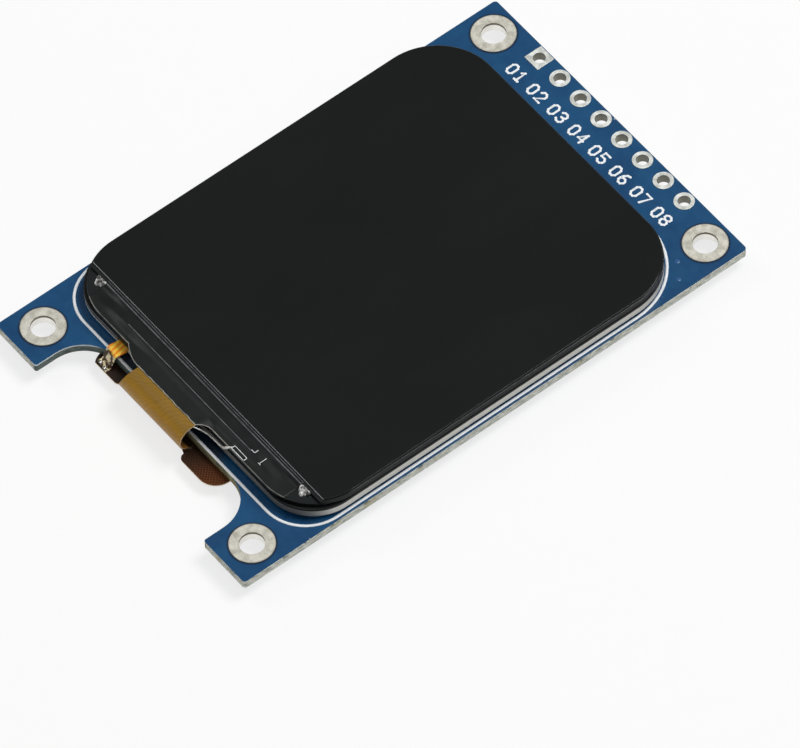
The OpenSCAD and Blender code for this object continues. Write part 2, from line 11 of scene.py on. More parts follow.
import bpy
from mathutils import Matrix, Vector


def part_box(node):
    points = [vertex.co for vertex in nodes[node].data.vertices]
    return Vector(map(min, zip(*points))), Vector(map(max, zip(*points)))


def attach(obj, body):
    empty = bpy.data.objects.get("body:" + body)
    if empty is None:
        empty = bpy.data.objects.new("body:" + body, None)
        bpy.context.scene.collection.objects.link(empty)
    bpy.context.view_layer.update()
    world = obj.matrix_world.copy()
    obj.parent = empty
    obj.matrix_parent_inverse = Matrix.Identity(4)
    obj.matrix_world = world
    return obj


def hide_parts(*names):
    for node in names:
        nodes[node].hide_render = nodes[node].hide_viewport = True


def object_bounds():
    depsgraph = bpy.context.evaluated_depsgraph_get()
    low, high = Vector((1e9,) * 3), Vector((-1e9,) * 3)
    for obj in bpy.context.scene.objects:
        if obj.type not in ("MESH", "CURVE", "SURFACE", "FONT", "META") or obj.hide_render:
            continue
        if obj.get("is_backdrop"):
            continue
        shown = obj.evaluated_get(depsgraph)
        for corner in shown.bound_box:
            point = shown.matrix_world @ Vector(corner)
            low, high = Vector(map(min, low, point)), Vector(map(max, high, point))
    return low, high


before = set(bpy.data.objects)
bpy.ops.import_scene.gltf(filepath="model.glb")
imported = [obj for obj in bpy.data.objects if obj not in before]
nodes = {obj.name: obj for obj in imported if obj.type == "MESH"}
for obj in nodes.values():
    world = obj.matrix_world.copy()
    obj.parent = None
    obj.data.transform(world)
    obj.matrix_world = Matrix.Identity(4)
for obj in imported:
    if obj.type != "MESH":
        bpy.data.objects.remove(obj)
cad_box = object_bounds()
print("nodes:", len(nodes))

# %% [markdown]
# ## Units and tools
#
# Blender works in metres here, but this object is the size of a stamp, so sizes below are written in
# millimetres. Where a place is already set by a CAD solid, it is read from that solid's box.

# %% Units
import math
from types import SimpleNamespace

import bmesh
import bpy
from mathutils import Matrix, Vector, noise

MM = 0.001


def in_mm(corner):
    return [round(value / MM, 3) for value in corner]


def reach(node):
    """How far a CAD solid reaches each way, in millimetres."""
    low, high = map(in_mm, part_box(node))
    return SimpleNamespace(
        left=low[0], right=high[0], foot=low[1], head=high[1], bottom=low[2], top=high[2]
    )


print("CAD box in mm:", in_mm(cad_box[0]), in_mm(cad_box[1]))

# %% [markdown]
# ## Writing node trees as sums
#
# A finish needs many small Math nodes, and adding each one by hand hides the idea. One class wraps a
# socket of a tree. Sums and products of such wires add the Math nodes, and one method adds any other
# node, so that a finish reads like a formula. Geometry trees use the same class.


# %% A wire of a node tree
class Wire:
    """A socket of a node tree. Arithmetic on it adds Math nodes."""

    def __init__(self, tree, socket=None):
        self.tree, self.socket = tree, socket

    def node(self, kind, given=None, out=0):
        """Adds a node. Lower-case names in given are its settings, the others its sockets."""
        made = self.tree.nodes.new(kind)
        for key, value in (given or {}).items():
            if str(key).islower():
                setattr(made, key, value)
                continue
            for part in value if isinstance(value, list) else [value]:
                if isinstance(part, Wire):
                    self.tree.links.new(part.socket, made.inputs[key])
                else:
                    made.inputs[key].default_value = part
        if isinstance(out, tuple):
            return [Wire(self.tree, made.outputs[name]) for name in out]
        return Wire(self.tree, made.outputs[out]) if made.outputs else None

    def maths(self, operation, first, second=0.0):
        return self.node("ShaderNodeMath", {"operation": operation, 0: first, 1: second})

    def __add__(self, other):
        return self.maths("ADD", self, other)

    def __sub__(self, other):
        return self.maths("SUBTRACT", self, other)

    def __rsub__(self, other):
        return self.maths("SUBTRACT", other, self)

    def __mul__(self, other):
        return self.maths("MULTIPLY", self, other)

    def __abs__(self):
        return self.maths("ABSOLUTE", self)


print("wires ready")

# %% [markdown]
# ## What every finish starts from
#
# Each finish needs the place on the piece in millimetres and the way the surface faces. Object
# coordinates give both, because every piece sits at the origin with its place in its mesh. The last
# step is always the same too: a Principled shader with a bump.


# %% Helpers for finishes
def colour(red, green, blue):
    """A screen colour, 0 to 255, as the linear colour that shaders use."""

    def linear(value):
        value /= 255
        return value / 12.92 if value <= 0.04045 else ((value + 0.055) / 1.055) ** 2.4

    return (linear(red), linear(green), linear(blue), 1.0)


def begin(name):
    """Starts a finish: its material, the place in millimetres and the way the surface faces."""
    material = bpy.data.materials.new(name)
    material.use_nodes = True
    material.node_tree.nodes.clear()
    wire = Wire(material.node_tree)
    where, facing = wire.node("ShaderNodeTexCoord", out=("Object", "Normal"))
    place = wire.node("ShaderNodeVectorMath", {"operation": "SCALE", 0: where, "Scale": 1 / MM})
    x, y, z = wire.node("ShaderNodeSeparateXYZ", {0: place}, out=(0, 1, 2))
    turn, along, up = wire.node("ShaderNodeSeparateXYZ", {0: facing}, out=(0, 1, 2))
    return SimpleNamespace(
        material=material, node=wire.node, place=place, x=x, y=y, z=z, turn=turn, along=along, up=up
    )


def step(value, low, high):
    """Goes smoothly from 0 at low to 1 at high."""
    given = {"interpolation_type": "SMOOTHSTEP", 0: value, 1: low, 2: high}
    return value.node("ShaderNodeMapRange", given)


def blend(share, first, second):
    """Goes from the first colour to the second. Each is a wire or a screen colour, 0 to 255."""
    first, second = (c if isinstance(c, Wire) else colour(*c) for c in (first, second))
    given = {"data_type": "RGBA", 0: share, 6: first, 7: second}
    return share.node("ShaderNodeMix", given, out=2)


def stretched(coat, *scales):
    """The place on the piece, scaled by its own amount each way."""
    given = {"operation": "MULTIPLY", 0: coat.place, 1: scales}
    return coat.node("ShaderNodeVectorMath", given)


def cloud(coat, per_mm, detail=2.0, place=None):
    """Soft irregular noise between 0 and 1, with about per_mm patches in a millimetre."""
    given = {"Vector": place or coat.place, "Scale": per_mm, "Detail": detail}
    return coat.node("ShaderNodeTexNoise", given)


def cells(coat, per_mm, uneven=1.0):
    """Distance from the nearest of scattered points, about per_mm of them in a millimetre."""
    given = {"Vector": coat.place, "Scale": per_mm, "Randomness": uneven}
    return coat.node("ShaderNodeTexVoronoi", given, out="Distance")


def wave(value, length):
    """Goes up and down between 0 and 1, once in each length."""
    return value.maths("SINE", value * (2 * math.pi / length)) * 0.5 + 0.5


def end(coat, base, roughness, metallic=0.0, height=None, depth=0.004, shine=0.5, fixed=None):
    """Ends a finish in a Principled shader. Depth is the bump's height in millimetres."""
    given = {"Base Color": base, "Roughness": roughness, "Metallic": metallic}
    given.update({"Specular IOR Level": shine, **(fixed or {})})
    if height is not None:
        bump = {"Strength": 1.0, "Distance": depth * MM, "Height": height}
        given["Normal"] = coat.node("ShaderNodeBump", bump)
    shader = coat.node("ShaderNodeBsdfPrincipled", given)
    coat.node("ShaderNodeOutputMaterial", {"Surface": shader})
    print(f"{coat.material.name}: {len(coat.material.node_tree.nodes)} nodes")
    return coat.material


print("white is", [round(v, 3) for v in colour(255, 255, 255)])

# %% [markdown]
# ## Easing the solids
#
# CAD edges are razor sharp and catch no light, while every real edge has a small round. The packed
# mesh is loose triangles, so a copy is merged and its flat parts are joined first. The bevel works in
# millimetres, because Blender's smallest distances are too coarse for a hundredth of a millimetre in
# metres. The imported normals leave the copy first, or the hardened normals of the bevel would mix with
# them and flat faces would look bent.

# %% Helpers for pieces
MERGE, FLAT_TURN, SHARP_TURN = 1e-4, math.radians(0.5), math.radians(35)


def show(name, mesh, material=None):
    """Puts a mesh in the scene as an object at the origin."""
    if material:
        mesh.materials.clear()
        mesh.materials.append(material)
    piece = bpy.data.objects.new(name, mesh)
    bpy.context.scene.collection.objects.link(piece)
    return piece


def placed(name, mesh, slot, *replaced):
    """Hangs a finished mesh on the model as a piece and hides the CAD solids that it replaces."""
    piece = show(name, mesh)
    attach(piece, "root")
    if replaced:
        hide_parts(*replaced)
    print(f"{name}: {len(mesh.polygons)} faces")
    return piece


def flatten(work, scale=1.0):
    """The plain mesh that an object's modifiers give; the object itself goes."""
    shown = work.evaluated_get(bpy.context.evaluated_depsgraph_get())
    mesh = bpy.data.meshes.new_from_object(shown)
    bpy.data.objects.remove(work)
    mesh.transform(Matrix.Scale(scale, 4))
    return mesh


def filled(mesh, shape):
    """A mesh that takes over a finished shape, which is then freed."""
    shape.to_mesh(mesh)
    shape.free()
    return mesh


def eased(node, material, slot, edge, segments=2):
    """Puts a copy of a CAD solid, with its edges rounded, in the solid's place."""
    mesh = nodes[node].data.copy()
    shape = bmesh.new()
    shape.from_mesh(mesh)
    bmesh.ops.scale(shape, vec=(1 / MM,) * 3, verts=shape.verts)
    bmesh.ops.remove_doubles(shape, verts=shape.verts, dist=MERGE)
    bmesh.ops.dissolve_limit(shape, angle_limit=FLAT_TURN, verts=shape.verts, edges=shape.edges)
    filled(mesh, shape)
    packed = mesh.attributes.get("custom_normal")
    if packed:
        mesh.attributes.remove(packed)
    mesh.shade_smooth()
    work = show(node + "_work", mesh, material)
    bevel = work.modifiers.new("ease", "BEVEL")
    bevel.width, bevel.segments = edge, segments
    bevel.limit_method, bevel.angle_limit = "ANGLE", SHARP_TURN
    bevel.harden_normals = True
    placed(node + "_eased", flatten(work, MM), slot, node)


print("edges that turn more than", round(math.degrees(SHARP_TURN)), "degrees get a round")

# %% [markdown]
# ## The board
#
# The board is woven glass cloth in resin under a blue lacquer, the solder mask. Its faces are blue,
# and its sawn edges show the pale cloth in layers. The notch is milled, and its walls are darker:
# greener on the left, and olive on the right, which is painted shade with a painted reflection of the
# amber flex. A painted highlight runs along the top of the notch walls. The lacquer is paler along the
# edges, partly chipped and partly a painted highlight, and it stops short of each tinned ring, so that
# a dark gap shows there. Beside the notch, where the flex passes, shade is painted on it in near black.
# All of this depends on the place and on the way the surface faces, so one finish covers the whole
# solid.

# %% Board finish
BOARD_TOP, BOARD_BACK, FLEX = reach("board").top, reach("board").bottom, reach("main_flex")
FLEX_X = (FLEX.left + FLEX.right) / 2
HOLE_X, HOLE_HEAD_Y, HOLE_FOOT_Y, RING_R = 13.0, 22.1, -21.6, 1.8
SHADE_HALF, SHADE_FOOT, SHADE_HEAD = 6.4, -18.82, -17.8
NOTCH_HALF, MILLED_Y, HIGHLIGHT_X = 10.45, -18.6, 8.8


def ring_distance(coat):
    """Distance from the middle of the nearest mounting hole."""
    head = coat.y.maths("GREATER_THAN", coat.y, 0.0)
    across = abs(coat.x) - HOLE_X
    along = coat.y - (head * (HOLE_HEAD_Y - HOLE_FOOT_Y) + HOLE_FOOT_Y)
    return across.maths("SQRT", across * across + along * along)


def lacquer(coat):
    """Colour of the blue lacquer, with the gap that it leaves round the rings."""
    tone = cloud(coat, 0.3, 4.0)
    blue = blend(step(tone, 0.3, 0.7), (11, 65, 108), (18, 77, 120))
    # Painted shade: near black on the strip beside the neck, between the printed outline and the
    # panel's foot.
    painted_neck_shade = step(abs(coat.x - FLEX_X), SHADE_HALF + 1.0, SHADE_HALF - 1.0)
    painted_neck_shade = painted_neck_shade * step(coat.y, SHADE_FOOT - 0.02, SHADE_FOOT + 0.02) * step(coat.up, 0.2, 0.6)
    painted_neck_shade = painted_neck_shade * step(coat.y, SHADE_HEAD + 0.2, SHADE_HEAD - 0.2)
    blue = blend(painted_neck_shade * 0.85, blue, (9, 16, 18))
    gap = step(ring_distance(coat), RING_R + 0.22, RING_R + 0.05)
    blue = blend(gap * 0.8, blue, (9, 26, 50))
    return blend(step(cells(coat, 0.45), 0.05, 0.03) * 0.7, blue, (170, 185, 195))


def weave(coat):
    """Threads of the glass cloth, which show as a faint relief under the lacquer."""
    return wave(coat.x, 0.46) * wave(coat.y, 0.5)


def board_finish():
    coat = begin("blue lacquer on glass cloth")
    face = step(abs(coat.up), 0.35, 0.9)
    fibres = cloud(coat, 1.0, 4.0, stretched(coat, 1.6, 1.6, 9.0))
    layers = wave(coat.z + fibres * 0.06, 0.2)
    mottled = step(fibres * 0.75 + layers * 0.25, 0.34, 0.66)
    cut = blend(mottled, (148, 153, 143), (240, 241, 230))
    resin = step(cloud(coat, 0.8, 3.0), 0.55, 0.68)
    cut = blend(resin * 0.4, cut, (186, 172, 122))
    torn = step(cloud(coat, 1.6, 4.0), 0.56, 0.64) * step(coat.z, BOARD_TOP - 0.4, BOARD_TOP - 0.1)
    cut = blend(torn * 0.7, cut, (44, 68, 66))
    milled = step(abs(coat.x), NOTCH_HALF + 0.45, NOTCH_HALF + 0.15)
    milled = milled * step(coat.y, MILLED_Y + 0.2, MILLED_Y - 0.2)
    right = step(coat.x, -2.0, 2.0)
    # On the right the olive is painted shade with a painted reflection of the amber flex; on the left
    # the wall is plainly darker and greener.
    olive_shade_and_reflection = blend(step(fibres, 0.35, 0.65), (84, 82, 50), (160, 152, 102))
    green = blend(step(fibres, 0.35, 0.65), (44, 64, 64), (92, 110, 104))
    cut = blend(milled * 0.9, cut, blend(right, green, olive_shade_and_reflection))
    # Painted highlight: a pale band along the top of the notch walls, weaker on the right.
    painted_lip_highlight = step(coat.z, BOARD_TOP - 0.18, BOARD_TOP - 0.12) * milled * (1 - right * 0.6)
    painted_lip_highlight = painted_lip_highlight * step(abs(coat.x), HIGHLIGHT_X - 0.4, HIGHLIGHT_X + 0.4)
    cut = blend(painted_lip_highlight * 0.9, cut, (232, 242, 248))
    # The pale rim on the rounded edges is partly chipped lacquer and partly a painted highlight.
    rim = face * (1 - face) * 3.2
    chips = step(cloud(coat, 2.5, 3.0), 0.42, 0.6)
    base = blend(rim * (chips * 0.6 + 0.25), blend(face, cut, lacquer(coat)), (150, 178, 196))
    rough = face * (cloud(coat, 1.2) * 0.1 - 0.62) + 0.85
    height = weave(coat) * face * 0.25 + fibres * (1 - face)
    return end(coat, base, rough, height=height, depth=0.006)


blue_board = board_finish()

# %% Make the board
eased("board", blue_board, "board_blue", 0.03)

# %% [markdown]
# ## Tinned copper
#
# Rings, pads, legs and end caps are copper dipped in tin. Tin sets with a frosted, slightly uneven
# skin, so one recipe makes them all: metal whose roughness and height follow fine noise. The rings
# are dull and a little warm, the pads brighter, and fresh solder is brightest and smoothest. Shade is
# painted in a brown copper colour at the rings' border, at the brink of the wide holes and down the
# narrow holes. Below the brink the walls of the wide holes are smoother and fully metal, with light
# from below painted into their pale colour. The recipe takes rules for these two things.


# %% Tin finishes
def wall(coat):
    """1 on upright walls, 0 on faces."""
    return step(abs(coat.up), 0.6, 0.25)


def ring_rules(coat):
    """Painted shade at the border and the brink of the bore, and smoother tin with painted light below
    that.
    """
    # Painted shade along the ring's outer border and at the brink of the bore.
    border = step(ring_distance(coat), RING_R - 0.09, RING_R - 0.03)
    brink = step(coat.z, BOARD_TOP - 0.24, BOARD_TOP - 0.14) * wall(coat)
    thin = border * 0.45 + brink * (1 - border) * 0.75
    return thin, wall(coat) * (1 - border) * (1 - brink)


def pad_rules(coat):
    # Painted shade down the walls of the pin holes.
    return wall(coat) * 0.75, None


def tin(name, dark, bright, low, high, grain, metal=1.0, rules=None):
    """Frosted tin between two colours and two roughness values.

    Rules say where shade is painted and where the tin is smoother, with light painted in.
    """
    coat = begin(name)
    patches = cloud(coat, 1.6, 3.0)
    frost = cloud(coat, grain, 3.0)
    base = blend(step(patches * 0.6 + frost * 0.4, 0.35, 0.65), dark, bright)
    thin, smooth_and_painted_light = rules(coat) if rules else (None, None)
    # Painted shade, in a brown copper colour, where the rules ask for it.
    if thin:
        base = blend(thin, base, (96, 88, 60))
    rough = step(patches, 0.25, 0.75) * (high - low) + low
    # On the walls of the wide holes the pale colour is painted light from below; the lower roughness
    # and the full metal are the tin's own.
    if smooth_and_painted_light:
        base = blend(smooth_and_painted_light, base, (240, 238, 231))
        rough = rough * (1 - smooth_and_painted_light * 0.6)
        metal = smooth_and_painted_light * (1 - metal) + metal
    return end(coat, base, rough, metal, frost + patches * 0.6, 0.006)


ring_tin = tin("frosted ring tin", (182, 179, 166), (222, 219, 208), 0.5, 0.7, 12.0, 0.5, ring_rules)
pad_tin = tin("bright pad tin", (208, 211, 204), (239, 242, 237), 0.35, 0.55, 7.0, 0.45, pad_rules)
leg_tin = tin("leg tin", (190, 190, 186), (224, 224, 220), 0.28, 0.45, 12.0)
cap_tin = tin("end cap tin", (196, 196, 192), (228, 228, 224), 0.3, 0.5, 10.0)
solder = tin("solder", (200, 200, 196), (236, 236, 232), 0.16, 0.36, 4.0)

# %% Make the rings and the pads
eased("hole_rings", ring_tin, "ring_tin", 0.02)
eased("pin_pads", pad_tin, "pad_tin", 0.02)

# %% [markdown]
# ## The backlight box
#
# Under the glass sits a thin steel tray with a black moulded frame in it. The rolled steel has fine
# lines along the strip, so its noise is stretched flat. Shade is painted on its faces towards the foot,
# where the flex is bonded, and a painted highlight runs along its lower edge at the left of the foot.
# The frame is moulded plastic with a fine matt texture, and the tape below is black foam with open
# pores.

# %% Steel, plastic and foam finishes
TRAY_LOW, SHINE_X, SHINE_Y = reach("backlight_tray").bottom, -4.5, -13.0


def steel_finish():
    coat = begin("rolled steel")
    lines = cloud(coat, 1.0, 4.0, stretched(coat, 0.7, 0.7, 60.0))
    stains = cloud(coat, 0.4, 3.0)
    base = blend(lines * 0.7 + stains * 0.3, (196, 194, 187), (232, 230, 223))
    # Painted highlight: a pale line along the tray's lower edge at the left of the foot.
    painted_shine = step(coat.z, TRAY_LOW + 0.18, TRAY_LOW + 0.12)
    painted_shine = painted_shine * step(coat.x, SHINE_X + 1.5, SHINE_X - 1.5)
    painted_shine = painted_shine * step(coat.y, SHINE_Y + 1.0, SHINE_Y - 1.0)
    # Painted shade on the faces towards the foot.
    painted_foot_shade = step(coat.along, -0.25, -0.85) * (1 - painted_shine) * 0.75
    base = blend(painted_foot_shade, base, (54, 54, 52))
    base = blend(painted_shine, base, (250, 250, 248))
    return end(coat, base, lines * 0.2 + stains * 0.1 + 0.4, 0.6 - painted_shine * 0.5, lines, 0.004)


def plastic_finish():
    coat = begin("black moulded plastic")
    grain = cloud(coat, 16.0, 2.0)
    flow = cloud(coat, 0.5, 3.0)
    base = blend(flow, (17, 18, 18), (27, 28, 28))
    return end(coat, base, grain * 0.15 + 0.38, height=grain, depth=0.005, shine=0.2)


def foam_finish():
    coat = begin("black foam tape")
    pores = cells(coat, 9.0)
    base = blend(step(pores, 0.1, 0.6), (8, 8, 9), (26, 26, 28))
    return end(coat, base, 0.9, height=pores, depth=0.03)


steel, black_plastic, foam = steel_finish(), plastic_finish(), foam_finish()

# %% Make the backlight box
eased("backlight_tray", steel, "tray_steel", 0.02)
eased("backlight_frame", black_plastic, "frame_black", 0.03)
eased("foam_tape", foam, "foam_black", 0.03)

# %% [markdown]
# ## Glass and polariser
#
# Two sheets of thin glass hold the liquid crystal, and a dark polarising film covers the face. With
# the lamps off the face is near black with a clear gloss. Handling leaves faint smears, which only
# show as changes in roughness. At the ledge, a pale highlight is painted along the film's cut edge.

# %% Glass and polariser finishes
LEDGE_Y = reach("upper_polariser").foot


def polariser_finish(name):
    coat = begin(name)
    smear = cloud(coat, 0.16, 4.0, stretched(coat, 1.0, 0.45, 1.0))
    side = step(abs(coat.up), 0.75, 0.25)
    # Painted highlight: a pale line along the polariser's cut edge at the ledge.
    cut = step(coat.y, LEDGE_Y + 0.035, LEDGE_Y + 0.02)
    black = blend(step(smear, 0.3, 0.7), (15, 18, 17), (19, 22, 21))
    base = blend(cut * 0.42, black, (238, 241, 243))
    return end(coat, base, smear * 0.07 + 0.05 + side * 0.25)


def glass_finish():
    coat = begin("dark panel glass")
    side = step(abs(coat.up), 0.8, 0.3)
    chips = cloud(coat, 3.0, 4.0, stretched(coat, 1.0, 1.0, 4.0))
    ground = blend(step(chips, 0.4, 0.75), (9, 11, 11), (34, 38, 38))
    base = blend(side, (27, 31, 31), ground)
    rough = side * (chips * 0.3) + 0.05
    gloss = {"Coat Weight": (1 - side) * 0.8}
    return end(coat, base, rough, height=chips * side, depth=0.01, shine=0.1, fixed=gloss)


glass, face = glass_finish(), polariser_finish("upper polariser")

# %% Make the glass and the face
eased("array_glass", glass, "panel_glass", 0.03)
eased("filter_glass", glass, "panel_glass", 0.03)
eased("upper_polariser", face, "polariser_dark", 0.02)

# %% [markdown]
# ## The film over the ledge
#
# A black film covers the driver chip and the bond of the flex. It is laid over hard edges, so it
# creases at the edge of the upper glass, sinks into the gap before the chip, lies flat on the chip
# and slopes down to the flex, where it ends in an uneven cut with a small flap on each side of the
# neck. A flat slab can't show that. The sheet is built as a grid whose height follows what lies under
# it, and then gets its thickness. Its cut edge is pale, so each point carries a number that tells how
# near that edge is, and the finish reads it.

# %% Shape of the film
CHIP, GLASS_EDGE, FOOT = reach("driver_chip"), reach("filter_glass").foot, reach("array_glass").foot
TOP_OF_GLASS, TOP_OF_LEDGE = reach("filter_glass").top, reach("array_glass").top
CHIP_X, CHIP_HALF = (CHIP.left + CHIP.right) / 2, (CHIP.right - CHIP.left) / 2
NECK_LEFT, NECK_RIGHT, NECK_CUT = -4.455, 2.595, -18.92
CORNER_X, CORNER_Y, CORNER_R, CORNER_GAP = 10.235, -13.4, 4.8, 0.03
FLAP_LEFT, FLAP_RIGHT, FLAP_REACH = -6.64, 3.6, 0.75
CHIP_SLOPE, NECK_SLOPE_LEFT, NECK_SLOPE_RIGHT = 3.9, 3.0, 1.1
GAP_SINK, CHIP_FALL, EDGE_FALL = 0.06, 0.75, 0.55
FILM_T, FILM_LIFT, RIPPLE = 0.05, 0.01, 0.012


def ease(value, low, high):
    """The same smooth step as in the finishes, on plain numbers."""
    share = min(max((value - low) / (high - low), 0.0), 1.0)
    return share * share * (3 - 2 * share)


def fall(y, start, length):
    """Goes from 0 at start to 1 at a length further towards the foot."""
    return ease(-y, -start, -start + length)


def plateau(x, left, right, left_slope, right_slope):
    """1 between left and right, sloping to 0 beside them."""
    return ease(x, left - left_slope, left) * ease(-x, -right - right_slope, -right)


def film_top(x, y):
    """Height of the film's upper face."""
    high = TOP_OF_GLASS + FILM_T
    on_neck = plateau(x, NECK_LEFT, NECK_RIGHT, NECK_SLOPE_LEFT, NECK_SLOPE_RIGHT)
    low = TOP_OF_LEDGE + FILM_T + FILM_LIFT + on_neck * (FLEX.top - TOP_OF_LEDGE)
    on_chip = plateau(x, CHIP.left, CHIP.right, CHIP_SLOPE, CHIP_SLOPE)
    gap = fall(y, GLASS_EDGE, 0.12) * ease(y, CHIP.head, CHIP.head + 0.1)
    over_chip = high - GAP_SINK * gap - (high - low) * fall(y, CHIP.foot, CHIP_FALL)
    off_chip = high - (high - low) * fall(y, GLASS_EDGE, EDGE_FALL)
    ripple = RIPPLE * noise.noise(Vector((x * 0.9, y * 1.7, 3.0)))
    free = fall(y, CHIP.foot, 0.5) * ease(y, FOOT - 0.05, FOOT + 0.3)
    return on_chip * over_chip + (1 - on_chip) * off_chip + max(ripple, 0) * free


def film_end(x):
    """Where the film stops: at the glass edge, in a flap beside the neck, or uneven on the neck."""
    if NECK_LEFT <= x <= NECK_RIGHT:
        return NECK_CUT + 0.09 * noise.noise(Vector((x * 1.6, 0.0, 7.0)))
    if FLAP_LEFT <= x < NECK_LEFT:
        off_neck = (NECK_LEFT - x) / (NECK_LEFT - FLAP_LEFT)
        return FOOT - FLAP_REACH * (1 - off_neck**2)
    if NECK_RIGHT < x <= FLAP_RIGHT:
        off_neck = (x - NECK_RIGHT) / (FLAP_RIGHT - NECK_RIGHT)
        return FOOT - FLAP_REACH * (1 - off_neck) ** 2
    past = max(abs(x) - CORNER_X, 0.0)
    return CORNER_Y - math.sqrt(CORNER_R**2 - past**2) + CORNER_GAP


heights = [round(film_top(x, y), 2) for x, y in ((CHIP_X, CHIP.foot), (FLEX_X, FOOT))]
print("film on the chip and on the neck, mm:", heights)

# %% Grid of the film
FILM_START, FILM_HALF, FILM_COLUMNS = -15.88, reach("ledge_film").right, 240
NECK_CREASE, RIM_W = 0.02, 0.12
CHIP_ROWS = (0.2, 0.4, 0.6, 0.73, 0.78)
FOOT_ROWS = (-0.12, -0.08, 0.0, 0.1, 0.25, 0.4, 0.5, 0.55, 0.6, 0.65, 0.7, 0.75, 1.0)


def film_mesh():
    across = [FILM_HALF * (2 * i / FILM_COLUMNS - 1) for i in range(FILM_COLUMNS + 1)]
    across += [NECK_LEFT - NECK_CREASE, NECK_LEFT, NECK_RIGHT, NECK_RIGHT + NECK_CREASE]
    across.sort()
    rows = [FILM_START - 0.07 * i for i in range(3)]
    rows += [GLASS_EDGE - 0.03 * i for i in range(12)]
    rows += [CHIP.head - past for past in CHIP_ROWS]
    rows += [CHIP.foot - 0.05 * i for i in range(19)]
    rows += [FOOT - past for past in FOOT_ROWS]
    shape = bmesh.new()
    rim = shape.verts.layers.float.new("rim")
    grid = []
    for x in across:
        places = [max(y, film_end(x)) for y in rows]
        column = [shape.verts.new((x, y, film_top(x, y))) for y in places]
        for point in column:
            point[rim] = max(0.0, 1.0 - (point.co.y - film_end(x)) / RIM_W)
        grid.append(column)
    for left, right in zip(grid, grid[1:]):
        for i in range(len(rows) - 1):
            shape.faces.new((left[i], left[i + 1], right[i + 1], right[i]))
    bmesh.ops.remove_doubles(shape, verts=shape.verts, dist=MERGE)
    mesh = filled(bpy.data.meshes.new("ledge_film_sheet"), shape)
    mesh.shade_smooth()
    return mesh


film_sheet = film_mesh()
print("film:", len(film_sheet.polygons), "faces before it is thick")

# %% Finish of the film
PALE_HALF = 6.5


def film_finish():
    coat = begin("black ledge film")
    wrinkle = cloud(coat, 0.8, 3.0)
    # Painted highlights: pale lines where the film bends over the glass edge, at its start, and over
    # the chip's foot edge.
    crease_highlight = step(abs(coat.y - (GLASS_EDGE - 0.07)), 0.05, 0.015)
    crease_highlight = crease_highlight + step(coat.y, FILM_START - 0.05, FILM_START - 0.02)
    chip_edge_highlight = step(abs(coat.y - (CHIP.foot - 0.01)), 0.04, 0.012)
    chip_edge_highlight = chip_edge_highlight * step(abs(coat.x - CHIP_X), CHIP_HALF + 0.05, CHIP_HALF - 0.05)
    patchiness = step(cloud(coat, 1.4, 3.0), 0.3, 0.6) * 0.5 + 0.5
    line = (crease_highlight * 0.58 + chip_edge_highlight * 0.55) * patchiness
    beyond = step(coat.y, CHIP.foot, CHIP.foot - 0.5)
    base = blend(wrinkle, (13, 16, 16), (19, 22, 22))
    base = blend(beyond * 0.6, base, (26, 30, 29))
    base = blend(line, base, (150, 155, 158))
    rim = coat.node("ShaderNodeAttribute", {"attribute_name": "rim"}, out="Fac")
    at_neck = step(abs(coat.x - FLEX_X), PALE_HALF + 1.0, PALE_HALF - 1.0)
    pale = step(rim, 0.3, 0.8) * patchiness * (at_neck * 0.45 + 0.4)
    base = blend(pale, base, (196, 194, 184))
    return end(coat, base, wrinkle * 0.14 + 0.3, height=wrinkle, depth=0.008, shine=0.3)


film_work = show("ledge_film_work", film_sheet, film_finish())
thickness = film_work.modifiers.new("thickness", "SOLIDIFY")
thickness.thickness, thickness.offset = FILM_T, -1.0
placed("ledge_film_draped", flatten(film_work, MM), "film_black", "ledge_film")

# %% [markdown]
# ## The flex
#
# The flex is amber plastic film with copper tracks inside. The tracks show as faint slanting lines on
# the neck. Its two shoulders, down in the notch, carry a copper net under dark film, and the tail on
# the back has straight tracks. One finish does it all: height tells neck from tail, and the way the
# surface faces tells the upper side from the lower side and from the pale cut edges.

# %% Flex finish
TAIL_TOP, TAIL_PITCH, TAIL_HALF, NET_PITCH = BOARD_BACK, 0.8, 4.7, 0.3


